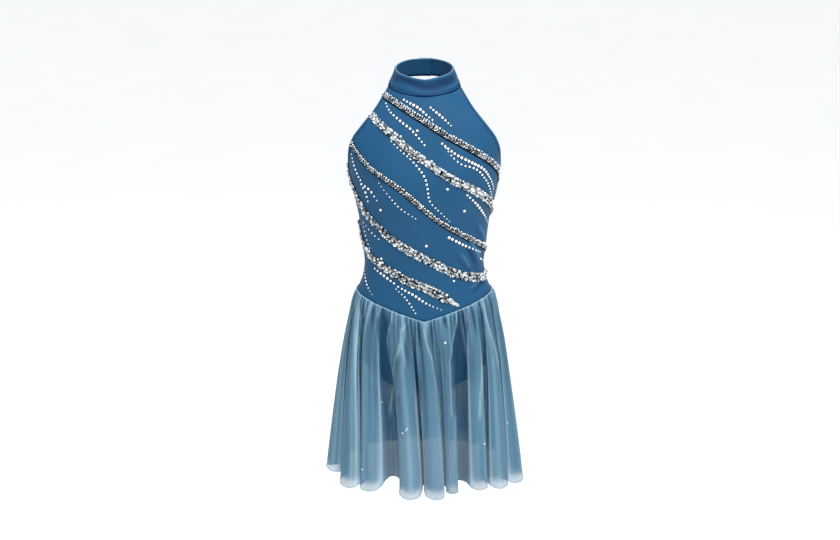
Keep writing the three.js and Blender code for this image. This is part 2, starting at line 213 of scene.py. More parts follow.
def surface_normals(surface: Surface, across: Array, down: Array) -> Array:
    """Outward normals of a cloth surface.

    Args:
        surface: The surface, as points for places across and down it.
        across: Places across, in the direction round the figure from the front past the left.
        down: Places down, towards the hem.

    Returns:
        One unit normal for each place.
    """
    small = 1e-4
    along_across = surface(across + small, down) - surface(across - small, down)
    along_down = surface(across, down + small) - surface(across, down - small)
    return unit(np.cross(along_down, along_across))


def grid_normals(points: Array) -> Array:
    """Outward unit normals of a grid of points, rows down and columns across."""
    return unit(np.cross(np.gradient(points, axis=0), np.gradient(points, axis=1)))


def smooth_path(stops: Sequence[Sequence[float]], count: int, weights: Sequence[float] = (1, 1)) -> Array:
    """Even places on a smooth curve through a few stops.

    Args:
        stops: The stops in order.
        count: How many places to give.
        weights: How much each coordinate counts in a distance.

    Returns:
        The places, one row each.
    """
    stops = np.array(stops, float)
    keys = np.concatenate([[0], np.cumsum(np.linalg.norm(np.diff(stops * weights, axis=0), axis=1))])
    slopes = np.gradient(stops, keys, axis=0)
    at = np.linspace(0, keys[-1], count)
    i = np.clip(np.searchsorted(keys, at) - 1, 0, len(keys) - 2)
    span = (keys[i + 1] - keys[i])[:, None]
    return through(stops, slopes, i, span, (at - keys[i])[:, None] / span)


@dataclass
class Track:
    """A line that runs over the cloth, with the cloth's outward normal all along it. Metres."""

    points: Array
    normals: Array

    def __post_init__(self) -> None:
        """Measures the line."""
        steps = np.linalg.norm(np.diff(self.points, axis=0), axis=1)
        self.along = np.concatenate([[0], np.cumsum(steps)])

    @property
    def length(self) -> float:
        """The line's length in metres."""
        return float(self.along[-1])

    def read(self, values: Array, distance: Array) -> Array:
        """The values, kept for each of the line's points, at some distances from its start."""
        return np.stack([np.interp(distance, self.along, column) for column in values.T], -1)

    def axes_at(self, distance: Array) -> tuple[Array, Array]:
        """Finds places on the line and how they lie.

        Args:
            distance: Distances from the line's start, in metres.

        Returns:
            The points, and for each one three axes as columns: along the line, beside it and out of the
            cloth.
        """
        points, out = self.read(self.points, distance), unit(self.read(self.normals, distance))
        forward = self.read(np.gradient(self.points, self.along, axis=0), distance)
        beside = unit(np.cross(out, forward))
        return points, np.stack([np.cross(beside, out), beside, out], -1)

    def sunk(self, depth: float) -> Array:
        """The line's points, some millimetres inside the cloth."""
        return self.points - self.normals * depth * MM


@dataclass
class SmallPart:
    """A small modelled thing that is sewn or set on many times."""

    vertices: Array
    faces: list[tuple[int, ...]]

    @classmethod
    def from_model(cls, model: Piece) -> "SmallPart":
        """Reads the mesh of a model at the origin and removes the model.

        Args:
            model: The modelled object.

        Returns:
            The part.
        """
        vertices = read_points(model.data)
        faces = [tuple(face.vertices) for face in model.data.polygons]
        bpy.data.objects.remove(model)
        return cls(vertices, faces)

    def repeated(self, name: str, places: Array, axes: Array, sizes: Array, tones: Array) -> Piece:
        """Makes one joined mesh of many copies.

        Args:
            name: The new piece's name.
            places: The middle of each copy.
            axes: The three axes of each copy, as columns.
            sizes: The scale of each copy, one number or one for each axis.
            tones: A value from 0 to 1 for each copy, kept as the attribute tone.

        Returns:
            The joined piece.
        """
        sizes = np.broadcast_to(np.reshape(sizes, (len(places), -1)), (len(places), 3))
        scaled = self.vertices[None] * sizes[:, None]
        points = np.einsum("nij,nvj->nvi", axes, scaled) + places[:, None]
        count = len(self.vertices)
        firsts = range(0, len(places) * count, count)
        faces = [tuple(corner + first for corner in face) for first in firsts for face in self.faces]
        piece = new_piece(name, points, faces)
        keep_values(piece.data, "tone", np.repeat(tones, count))
        return piece


def read_points(mesh: bpy.types.Mesh) -> Array:
    """Reads the vertices of a mesh.

    Args:
        mesh: The mesh.

    Returns:
        The vertices, one row each.
    """
    points = np.empty(len(mesh.vertices) * 3)
    mesh.vertices.foreach_get("co", points)
    return points.reshape(-1, 3)


def keep_values(mesh: bpy.types.Mesh, name: str, values: Array) -> None:
    """Keeps a value for each vertex as an attribute, for a finish to read."""
    layer = mesh.attributes.new(name, "FLOAT", "POINT")
    layer.data.foreach_set("value", values.astype(np.float32))


def new_piece(name: str, points: Array, faces: Sequence[tuple[int, ...]]) -> Piece:
    """Makes a piece from points and faces.

    Args:
        name: The piece's name.
        points: Its vertices, in metres.
        faces: The numbers of each face's vertices.

    Returns:
        The piece, at the origin.
    """
    mesh = bpy.data.meshes.new(name)
    mesh.from_pydata(points.reshape(-1, 3).tolist(), [], faces)
    piece = bpy.data.objects.new(name, mesh)
    bpy.context.scene.collection.objects.link(piece)
    return piece


def model_roll(name: str, path: Array, radius: float) -> Piece:
    """Models a rolled or turned edge: a round cord of cloth along a path, closed at both ends.

    Args:
        name: The piece's name.
        path: The points of its middle line, in metres.
        radius: Its radius, in millimetres.

    Returns:
        The piece.
    """
    clear_selection()
    bpy.ops.curve.primitive_nurbs_path_add()
    curve = bpy.context.object.data
    curve.splines.clear()
    spline = curve.splines.new("POLY")
    spline.points.add(len(path) - 1)
    spline.points.foreach_set("co", np.c_[path, np.ones(len(path))].ravel())
    curve.bevel_depth = radius * MM
    curve.bevel_resolution = 1
    curve.use_fill_caps = True
    bpy.ops.object.convert(target="MESH")
    bpy.ops.object.shade_smooth_by_angle(angle=math.radians(60))
    roll = bpy.context.object
    roll.name = roll.data.name = name
    return roll


# Finishes

def linear(colour: str) -> tuple[float, float, float, float]:
    """Turns an sRGB hex colour to linear light.

    Args:
        colour: The colour, such as "#3a6a98".

    Returns:
        Red, green and blue in linear light, and an alpha of 1.
    """
    shares = [int(colour[i:i + 2], 16) / 255 for i in (1, 3, 5)]
    red, green, blue = (s / 12.92 if s <= 0.04045 else ((s + 0.055) / 1.055) ** 2.4 for s in shares)
    return red, green, blue, 1.0


def add_node(tree: Tree, kind: str, inputs: dict[int | str, Any] | None = None,
             **settings: Any) -> bpy.types.Node:
    """Adds a node with its settings and links.

    Args:
        tree: The material's node tree.
        kind: The node's type.
        inputs: For each input, the socket that feeds it or its constant value.
        settings: The node's own settings.

    Returns:
        The node.
    """
    node = tree.nodes.new(kind)
    for name, value in settings.items():
        setattr(node, name, value)
    for name, value in (inputs or {}).items():
        if isinstance(value, Socket):
            tree.links.new(value, node.inputs[name])
        else:
            node.inputs[name].default_value = value
    return node


def kept_value(tree: Tree, name: str) -> Socket:
    """The value that the mesh keeps for each of its places as the attribute of this name."""
    return add_node(tree, "ShaderNodeAttribute", attribute_name=name).outputs["Fac"]


def blend(tree: Tree, share: Socket, first: Any, second: Any) -> Socket:
    """The colour that lies a share of the way from a first one to a second."""
    inputs = {"Factor": share, 6: first, 7: second}
    return add_node(tree, "ShaderNodeMix", inputs, data_type="RGBA").outputs[2]


def worked_out(tree: Tree, operation: str, *values: Any) -> Socket:
    """The result of one step of arithmetic on sockets or numbers."""
    return add_node(tree, "ShaderNodeMath", dict(enumerate(values)), operation=operation).outputs[0]


def new_material(name: str, constants: dict[str, Any]) -> tuple[Material, Tree, bpy.types.Node]:
    """Starts a material.

    Args:
        name: Its name.
        constants: The fixed inputs of its Principled node, by name.

    Returns:
        The material, its node tree and its Principled node.
    """
    material = bpy.data.materials.new(name)
    material.use_nodes = True
    tree = material.node_tree
    shader = tree.nodes["Principled BSDF"]
    for socket, value in constants.items():
        shader.inputs[socket].default_value = value
    return material, tree, shader


def dress_in(piece: Piece, material: Material) -> None:
    """Gives a piece one material all over."""
    piece.data.materials.clear()
    piece.data.materials.append(material)


def sew_in(piece: Piece, material: Material) -> Piece:
    """Dresses a piece and makes it part of the dress.

    Args:
        piece: The piece.
        material: Its finish.

    Returns:
        The piece.
    """
    dress_in(piece, material)
    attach(piece, BODY)
    return piece


@dataclass(frozen=True)
class StretchJersey:
    """Nylon and elastane jersey, circular knitted: an even blue with a soft sheen on its curves."""

    colour: str = "#1e5278"
    shaded_colour: str = "#1a4b6f"
    # The next two colours are a painted shade in crease troughs and a painted highlight on crease ridges.
    painted_crease_shade_colour: str = "#0a2c50"
    painted_crest_highlight_colour: str = "#5f95bd"
    mottle: float = 90 * MM
    # Real wales are about 0.35 mm apart, too fine to show, so they are drawn 1.1 mm apart.
    wale: float = 1.1 * MM
    loop_depth: float = 0.05 * MM
    bump_strength: float = 0.6
    roughness: float = 0.58
    specular: float = 0.15
    sheen: float = 0.06
    sheen_roughness: float = 0.4
    sheen_colour: str = "#a9c9e6"

    def material(self) -> Material:
        """Builds the material: mottled colour, a painted shade in crease troughs and a painted highlight on
        crease ridges, and a knit bump of V shaped loops on the cloth's own UV map.

        Returns:
            The material.
        """
        material, tree, shader = new_material("knitted_stretch_jersey", {
            "Roughness": self.roughness, "Specular IOR Level": self.specular, "Sheen Weight": self.sheen,
            "Sheen Roughness": self.sheen_roughness, "Sheen Tint": linear(self.sheen_colour)})
        place = add_node(tree, "ShaderNodeTexCoord").outputs
        mottle = add_node(tree, "ShaderNodeTexNoise", {
            "Vector": place["Object"], "Scale": 1 / self.mottle, "Detail": 3.0})
        colour = blend(tree, mottle.outputs["Fac"], linear(self.shaded_colour), linear(self.colour))
        # A painted highlight on crease ridges, then a painted shade in crease troughs.
        colour = blend(tree, kept_value(tree, "crest"), colour, linear(self.painted_crest_highlight_colour))
        colour = blend(tree, kept_value(tree, "hollow"), colour, linear(self.painted_crease_shade_colour))
        parts = add_node(tree, "ShaderNodeSeparateXYZ", {0: place["UV"]}).outputs
        wales = worked_out(tree, "MULTIPLY", parts["X"], 1 / self.wale)
        slant = worked_out(tree, "PINGPONG", wales, 1.0)
        courses = worked_out(tree, "MULTIPLY_ADD", parts["Y"], 1 / self.wale, slant)
        height = worked_out(tree, "ADD", worked_out(tree, "PINGPONG", courses, 0.5), slant)
        bump = add_node(tree, "ShaderNodeBump", {
            "Height": height, "Distance": self.loop_depth, "Strength": self.bump_strength})
        tree.links.new(colour, shader.inputs["Base Color"])
        tree.links.new(bump.outputs["Normal"], shader.inputs["Normal"])
        return material


@dataclass(frozen=True)
class SheerMesh:
    """Fine warp-knitted nylon mesh: denser where it is steep to the eye or doubled, and pale there with a
    painted highlight; clear where it is flat; darker in its valleys with painted shade.
    """

    colour: str = "#57829b"
    # A painted highlight colour for the pale edges of folds and laps, the gathers and the heading.
    painted_highlight_colour: str = "#a9cbdc"
    # A painted shade colour for the valleys of the folds.
    painted_valley_shade_colour: str = "#1a4a6e"
    # Real holes are about 0.6 mm apart, too fine to show, so they are drawn 1.6 mm apart.
    hole: float = 1.6 * MM
    roughness: float = 0.6
    specular: float = 0.25
    sheen: float = 0.12
    sheen_roughness: float = 0.35

    def material(self) -> Material:
        """Builds the material: thread colour, with painted shade in the valleys and painted highlights, and
        cover from the cloth's attributes, broken by small holes.

        Returns:
            The material.
        """
        material, tree, shader = new_material("warp_knitted_sheer_mesh", {
            "Roughness": self.roughness, "Specular IOR Level": self.specular, "Sheen Weight": self.sheen,
            "Sheen Roughness": self.sheen_roughness})
        place = add_node(tree, "ShaderNodeTexCoord").outputs
        holes = add_node(tree, "ShaderNodeTexVoronoi", {
            "Vector": place["UV"], "Scale": 1 / self.hole, "Randomness": 0.25})
        # The threads are thinnest in the middle of a hole and thickest between holes.
        threads = add_node(tree, "ShaderNodeMapRange", {
            "Value": holes.outputs["Distance"], 1: 0.1, 2: 0.6, 3: 0.88, 4: 1.1})
        alpha = add_node(tree, "ShaderNodeMath", {
            0: kept_value(tree, "cover"), 1: threads.outputs[0]}, operation="MULTIPLY", use_clamp=True)
        # A painted shade in the valleys, beside laps and in the pinches.
        colour = blend(tree, kept_value(tree, "valley"), linear(self.colour), linear(self.painted_valley_shade_colour))
        # A painted highlight on fold edges, lap edges, gather crests, the heading and small flute crests.
        colour = blend(tree, kept_value(tree, "paleness"), colour, linear(self.painted_highlight_colour))
        tree.links.new(colour, shader.inputs["Base Color"])
        tree.links.new(alpha.outputs[0], shader.inputs["Alpha"])
        return material


@dataclass(frozen=True)
class TonedFinish:
    """A finish whose many small pieces differ a little in tone, from their attribute tone."""

    name: str
    dark: str
    light: str
    metallic: float
    roughness: float
    coat: float = 0.0
    coat_roughness: float = 0.03
    sheen: float = 0.0
    specular: float = 0.5

    def material(self) -> Material:
        """Builds the material: each small piece takes its own tone between the dark and light colours.

        Returns:
            The material.
        """
        material, tree, shader = new_material(self.name, {
            "Metallic": self.metallic, "Roughness": self.roughness, "Coat Weight": self.coat,
            "Coat Roughness": self.coat_roughness, "Sheen Weight": self.sheen,
            "Specular IOR Level": self.specular})
        colour = blend(tree, kept_value(tree, "tone"), linear(self.dark), linear(self.light))
        tree.links.new(colour, shader.inputs["Base Color"])
        return material


# Film sequins, stamped from metallised polyester: each painted a random tone from grey to bright, a painted
# shade and painted glint for sequins that face away from or towards the light.
SEQUIN_FILM = TonedFinish("metallised_sequin_painted_glints", "#5c676d", "#f4f9fc", 0.25, 0.25)
# Flat-backed crystals, cut glass over a silver foil: painted near white all over as a painted glint, with
# real glints from the coat on every facet.
CUT_CRYSTAL = TonedFinish("cut_crystal_painted_glint", "#e4f2fa", "#ffffff", 0.1, 0.15, coat=1.0)
# Polyester thread, spun and dyed: a matt navy deeper than the jersey, drawn dark so that it also stands in,
# as painted shade, for the shade of small puckers along the stitching.
SEWING_THREAD = TonedFinish("polyester_thread_and_pucker_shade", "#0b2747", "#16395c", 0.0, 0.75, specular=0.15)
# Woven tape under the sequins, near black: it reaches further below each band and shows there as a dark line,
# a painted shadow.
TAPE_WITH_PAINTED_SHADOW = TonedFinish("woven_tape_painted_shadow", "#0a141f", "#0f1e2e", 0.0, 0.85, specular=0.1)
# Rolled edges of mesh: several turns of cloth, so paler and closed.
ROLLED_MESH = TonedFinish("rolled_mesh_edge", "#8fb3c8", "#a9c6d6", 0.0, 0.6, sheen=0.1)
# Turned edges of jersey: several turns of the same jersey, closed, and painted paler than it as a painted
# highlight along the edge.
TURNED_JERSEY_HIGHLIGHT = TonedFinish("turned_jersey_edge_painted_highlight", "#5585ab", "#6894b8", 0.0, 0.6, sheen=0.2)
# Seam allowances of jersey, pressed inside: they show only as a deep blue line of painted shade between two
# panels.
SEAM_PAINTED_SHADE = TonedFinish("pressed_jersey_seam_painted_shade", "#06254a", "#0b2f56", 0.0, 0.85, specular=0.05)
# A deep navy ring round each set crystal on the jersey: a painted shadow.
STONE_SHADOW_RING = TonedFinish("painted_stone_shadow_ring", "#081f3a", "#0d2a49", 0.0, 0.5, specular=0.15)
# Resin button, cast with pearl flake and polished: a milky white with a clear gloss.
PEARL_RESIN = TonedFinish("polished_pearl_resin", "#d5dade", "#f1f2f2", 0.15, 0.25, coat=0.8)


class Finishes:
    """The materials of the dress, each made once."""

    def __init__(self) -> None:
        """Builds every material."""
        self.jersey = StretchJersey().material()
        self.mesh = SheerMesh().material()
        self.sequin = SEQUIN_FILM.material()
        self.crystal = CUT_CRYSTAL.material()
        self.thread = SEWING_THREAD.material()
        self.tape = TAPE_WITH_PAINTED_SHADOW.material()
        self.rolled_mesh = ROLLED_MESH.material()
        self.turned_jersey_highlight = TURNED_JERSEY_HIGHLIGHT.material()
        self.seam_painted_shade = SEAM_PAINTED_SHADE.material()
        self.stone_shadow = STONE_SHADOW_RING.material()
        self.pearl = PEARL_RESIN.material()


# Cloth panels

@dataclass(frozen=True)
class WaistSeam:
    """The seam of bodice, brief and skirt: a straight-sided point in front, a shallow curve behind."""

    side: float = -415.0
    front_point: float = -459.0
    back: float = -425.0
    half_width: float = 135.0
    front_depth: float = 95.0
    back_depth: float = 88.0
    gap: float = 0.3

    def height(self, x: Array, half: Side) -> Array:
        """The seam's height at a distance from the middle, in millimetres.

        Args:
            x: Distances from the middle, in millimetres.
            half: The half of the dress.

        Returns:
            The heights.
        """
        share = np.minimum(np.abs(x) / self.half_width, 1)
        if half is Side.FRONT:
            return mix(self.front_point, self.side, share)
        return mix(self.back, self.side, share ** 2)

    def kept_below(self, points: Array, half: Side, gap: float) -> Array:
        """Keeps one half of the brief or skirt below the seam and on its own side of the side seams.

        Args:
            points: The half's points.
            half: The half.
            gap: How far below the seam it stays.

        Returns:
            The points, moved clear.
        """
        x, y, z = points[..., 0], points[..., 1], points[..., 2]
        y = np.minimum(y, -self.gap / 2) if half is Side.FRONT else np.maximum(y, self.gap / 2)
        return np.stack([x, y, np.minimum(z, self.height(x, half) - gap)], -1)


WAIST = WaistSeam()
BODICE_ROUNDNESS = 2.2


@dataclass(frozen=True)
class Crease:
    """A soft fold line in a panel, from one end to the other, as seen from the front or back. Millimetres.

    A positive depth is a ridge and a negative one a trough. It fades out towards both ends.
    """

    start: tuple[float, float]
    end: tuple[float, float]
    width: float
    depth: float
    # How far its middle bows out, as a share of its length.
    bow: float = 0.06

    def relief(self, x: Array, z: Array) -> Array:
        """How far the crease lifts the cloth at each place.

        Args:
            x: Distances from the middle, in millimetres.
            z: Heights, in millimetres.

        Returns:
            The lift, in millimetres.
        """
        start, end = np.array(self.start), np.array(self.end)
        length = np.linalg.norm(end - start)
        ux, uz = (end - start) / length
        along = ((x - start[0]) * ux + (z - start[1]) * uz) / length
        off = -(x - start[0]) * uz + (z - start[1]) * ux
        bow = self.bow * length * np.sin(np.pi * np.clip(along, 0, 1))
        fade = smoothstep(along, -0.1, 0.35) * smoothstep(-along, -1.1, -0.65)
        return self.depth * fade * np.exp(-((off - bow) / self.width) ** 2)


@dataclass
class ClothPanel:
    """One cut piece of cloth, worn. A subclass gives its surface in millimetres."""

    node: str
    columns: int
    rows: int
    cut: tuple[float, float]
    cut_area: float
    rests_on: str
    slot: str = JERSEY_SLOT
    held: str = "stretched"
    thickness: float = 1.2
    across_range: tuple[float, float] = (-1.0, 1.0)
    wall_offset: float = -1.0
    top_density: float = 1.0
    creases: tuple[Crease, ...] = ()
    # A crease's painted shade in its trough and painted highlight on its ridge start at the first of these
    # depths or heights, and are full at the first and second together.
    painted_shade_depths: tuple[float, float] = (0.3, 2.6)
    painted_highlight_heights: tuple[float, float] = (0.7, 3.5)

    def surface(self, across: Array, down: Array) -> Array:
        """The worn surface in millimetres, for places across and down the panel."""
        raise NotImplementedError

    def relief(self, points: Array, across: Array, down: Array) -> Array:
        """How far folds and seams lift the cloth out of its surface, in millimetres."""
        x, z = points[..., 0], points[..., 2]
        return sum((crease.relief(x, z) for crease in self.creases), np.zeros(across.shape))

    def trimmed(self, points: Array) -> Array:
        """The points kept clear of the neighbours at the seams."""
        return points

    def shaped(self, across: Array, down: Array) -> Array:
        """The surface with its relief, in metres, for a grid of places."""
        points = self.surface(across, down)
        return self.trimmed(points + grid_normals(points) * self.relief(points, across, down)[..., None]) * MM

    def places(self) -> tuple[Array, Array]:
        """The grid of places across and down at which the panel is modelled."""
        down = np.linspace(0, 1, self.rows) ** self.top_density
        return tuple(np.meshgrid(np.linspace(*self.across_range, self.columns), down))

    def model(self) -> Piece:
        """Models the panel: a flat grid laid onto the worn surface and thickened to cloth.

        Returns:
            The panel, at the origin.
        """
        across, down = self.places()
        points = self.shaped(across, down)
        clear_selection()
        bpy.ops.mesh.primitive_grid_add(x_subdivisions=self.columns - 1, y_subdivisions=self.rows - 1, size=1)
        piece = bpy.context.object
        piece.name = piece.data.name = f"{self.node}_cloth"
        flat = read_points(piece.data)
        column = np.rint((flat[:, 0] + 0.5) * (self.columns - 1)).astype(int)
        row = np.rint((0.5 - flat[:, 1]) * (self.rows - 1)).astype(int)
        piece.data.vertices.foreach_set("co", points[row, column].ravel())
        self.lay_out(piece.data, points, row, column)
        for name, values in self.attributes(points, across, down).items():
            keep_values(piece.data, name, values[row, column])
        bpy.ops.object.shade_smooth()
        self.area = float(sum(face.area for face in piece.data.polygons))
        finish_with(piece, "SOLIDIFY", thickness=self.thickness * MM, offset=self.wall_offset)
        return piece

    def lay_out(self, mesh: bpy.types.Mesh, points: Array, row: Array, column: Array) -> None:
        """Gives the cloth its flat coordinates, in metres along its own threads.

        Args:
            mesh: The grid.
            points: The worn points.
            row: The row of each vertex.
            column: The column of each vertex.
        """
        across = np.cumsum(np.linalg.norm(np.diff(points, axis=1, prepend=points[:, :1]), axis=2), axis=1)
        across -= across[:, self.columns // 2][:, None]
        down = np.cumsum(np.linalg.norm(np.diff(points, axis=0, prepend=points[:1]), axis=2), axis=0)
        corners = np.empty(len(mesh.loops), int)
        mesh.loops.foreach_get("vertex_index", corners)
        flat = np.stack([across[row, column], -down[row, column]], -1)[corners]
        mesh.uv_layers.active.data.foreach_set("uv", flat.ravel())
        self.measured = float(np.ptp(across, axis=1).max()), float(down[-1].max())

    def attributes(self, points: Array, across: Array, down: Array) -> dict[str, Array]:
        """The values that the finish reads, by name: how deep in a crease or high on one each place is, for a
        painted shade in the troughs and a painted highlight on the ridges.

        Args:
            points: The worn points, in metres.
            across: Places across.
            down: Places down.

        Returns:
            A value for each place, by name.
        """
        relief = self.relief(self.surface(across, down), across, down)
        low, deep = self.painted_shade_depths
        high, tall = self.painted_highlight_heights
        # How much painted shade a crease's trough gets, and how much painted highlight its ridge.
        hollow, crest = np.clip((-relief - low) / deep, 0, 0.85), np.clip((relief - high) / tall, 0, 0.6)
        return {"hollow": hollow, "crest": crest}

    def worn(self, across: Array, down: Array) -> Array:
        """The surface with its relief, in millimetres, at any places."""
        points, normals = self.surface(across, down), surface_normals(self.surface, across, down)
        return points + normals * self.relief(points, across, down)[..., None]

    def line(self, across: Array, down: Array, out: float = 0.0) -> Track:
        """A line over the panel.

        Args:
            across: The places across it.
            down: The places down it.
            out: How far the line stands off the surface, in millimetres.

        Returns:
            The line, in metres.
        """
        across, down = np.broadcast_arrays(np.asarray(across, float), np.asarray(down, float))
        normals = surface_normals(self.surface, across, down)
        return Track((self.worn(across, down) + normals * out) * MM, normals)

    def fit(self, piece: Piece, material: Material, edges: Sequence[Piece]) -> None:
        """Dresses the panel and puts it in its place in the dress.

        Args:
            piece: The modelled panel.
            material: Its cloth.
            edges: The rolled edges that are sewn on it; not used.
        """
        sew_in(piece, material)
        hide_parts(self.node)
        log.info("%s: %.3f x %.3f m flat, %.4f square metres", piece.name, *self.measured, self.area)


@dataclass
class Collar(ClothPanel):
    """Stand collar: one band of doubled jersey round the neck, lapped at the back. Across is an angle."""

    low_half_width: float = 70.4
    low_front: float = 66.5
    low_back: float = 58.0
    low_side_height: float = 0.8
    low_lean: float = 0.18
    top_half_width: float = 58.2
    top_front: float = 58.0
    top_back: float = 50.0
    top_side_height: float = 34.5
    top_lean: float = 0.22
    front_notch: float = 2.5
    notch_width: float = math.radians(24)
    lap: float = math.radians(11)
    lap_ramp: float = math.radians(18)
    lap_offset: float = 1.5
    seam_gap: float = 1.3
    ruck_heights: tuple[float, float] = (0.9, 0.6)
    front_hollow: float = 2.8
    puckers: int = 96
    pucker_height: float = 0.4
    top_rounding: float = 0.8
    seam_rounding: float = 0.9

    def seam_height(self, y: Array) -> Array:
        """Height of the seam between collar and bodice."""
        return self.low_side_height + self.low_lean * y

    def surface(self, across: Array, down: Array) -> Array:
        """The band, leaning forward with the neck, its ends one over the other.

        Args:
            across: Places across.
            down: Places down.

        Returns:
            The points.
        """
        up = 1 - down
        over = smoothstep(across, math.pi - self.lap - self.lap_ramp, math.pi - self.lap)
        under = smoothstep(-across, math.pi - self.lap - self.lap_ramp, math.pi - self.lap)
        lift = self.lap_offset * (over - under)
        forward = np.cos(across)
        front, back = mix(self.low_front, self.top_front, up), mix(self.low_back, self.top_back, up)
        depth = np.where(forward > 0, front, back)
        x = (mix(self.low_half_width, self.top_half_width, up) + lift) * np.sin(across)
        y = -(depth + lift) * forward
        notch = self.front_notch * np.maximum(0, 1 - np.abs(across) / self.notch_width)
        top = self.top_side_height + self.top_lean * y - notch
        return np.stack([x, y, mix(self.seam_height(y), top, up)], -1)

    def relief(self, points: Array, across: Array, down: Array) -> Array:
        """Soft rucks round the neck, small puckers above the lower seam, and a rounded top fold.

        Args:
            points: The points, in millimetres.
            across: Places across.
            down: Places down.

        Returns:
            The lift, in millimetres.
        """
        front = smoothstep(np.cos(across), -0.2, 0.8)
        # The paces of the two waves share no measure, so the rucks never repeat.
        wave, small_wave = np.sin(2.3 * across + 5.2 * down + 0.6), np.sin(5.1 * across - 6.5 * down + 1.9)
        rucks = self.ruck_heights[0] * wave + self.ruck_heights[1] * small_wave
        rucks = rucks * np.sin(np.pi * down) * (0.35 + 0.65 * front)
        hollow = self.front_hollow * smoothstep(down, 0.04, 0.22) * smoothstep(-down, -0.8, -0.35) * front
        puckers = self.pucker_height * np.cos(self.puckers * across) * np.exp(-((down - 0.86) / 0.08) ** 2)
        rounding = self.top_rounding * np.exp(-down / 0.03) + self.seam_rounding * np.exp(-(1 - down) / 0.04)
        return rucks + puckers - hollow - rounding

    def trimmed(self, points: Array) -> Array:
        """The band kept above the bodice."""
        points[..., 2] = np.maximum(points[..., 2], self.seam_height(points[..., 1]) + self.seam_gap)
        return points


# The front's side edges and middle, and how far it wraps, by millimetres down. Degrees and millimetres.
FRONT_LINES = SmoothTable("down side_x side_y side_z mid_y mid_z wrap pointed bust", [
    (0, 69.5, -5, 0, -66, -12, 86, 0, 0),
    (33, 97, -45, -39, -79, -46, 62, 0, 0),
    (68, 123, -59, -70, -89, -81, 58, 0, 0.1),
    (100, 141.5, -57, -97, -97, -113, 62, 0, 0.4),
    (129, 149.5, -41, -124, -104, -142, 74, 0, 0.8),
    (153, 151, -19, -151, -109, -166, 85, 0, 1),
    (172, 149.7, 0, -176, -111, -185, 90, 0, 1),
    (196, 144, 0, -204, -110, -209, 90, 0, 0.8),
    (219, 138.7, 0, -229, -107, -232, 90, 0, 0.45),
    (256, 131, 0, -268, -99, -269, 90, 0, 0.1),
    (303, 125.5, 0, -316, -90, -316, 90, 0, 0),
    (349, 121, 0, -360, -85.5, -362, 90, 0.2, 0),
    (392, 125, 0, -388, -88, -405, 90, 0.7, 0),
    (446, WAIST.half_width, 0, WAIST.side, -WAIST.front_depth, WAIST.front_point, 90, 1, 0),
])


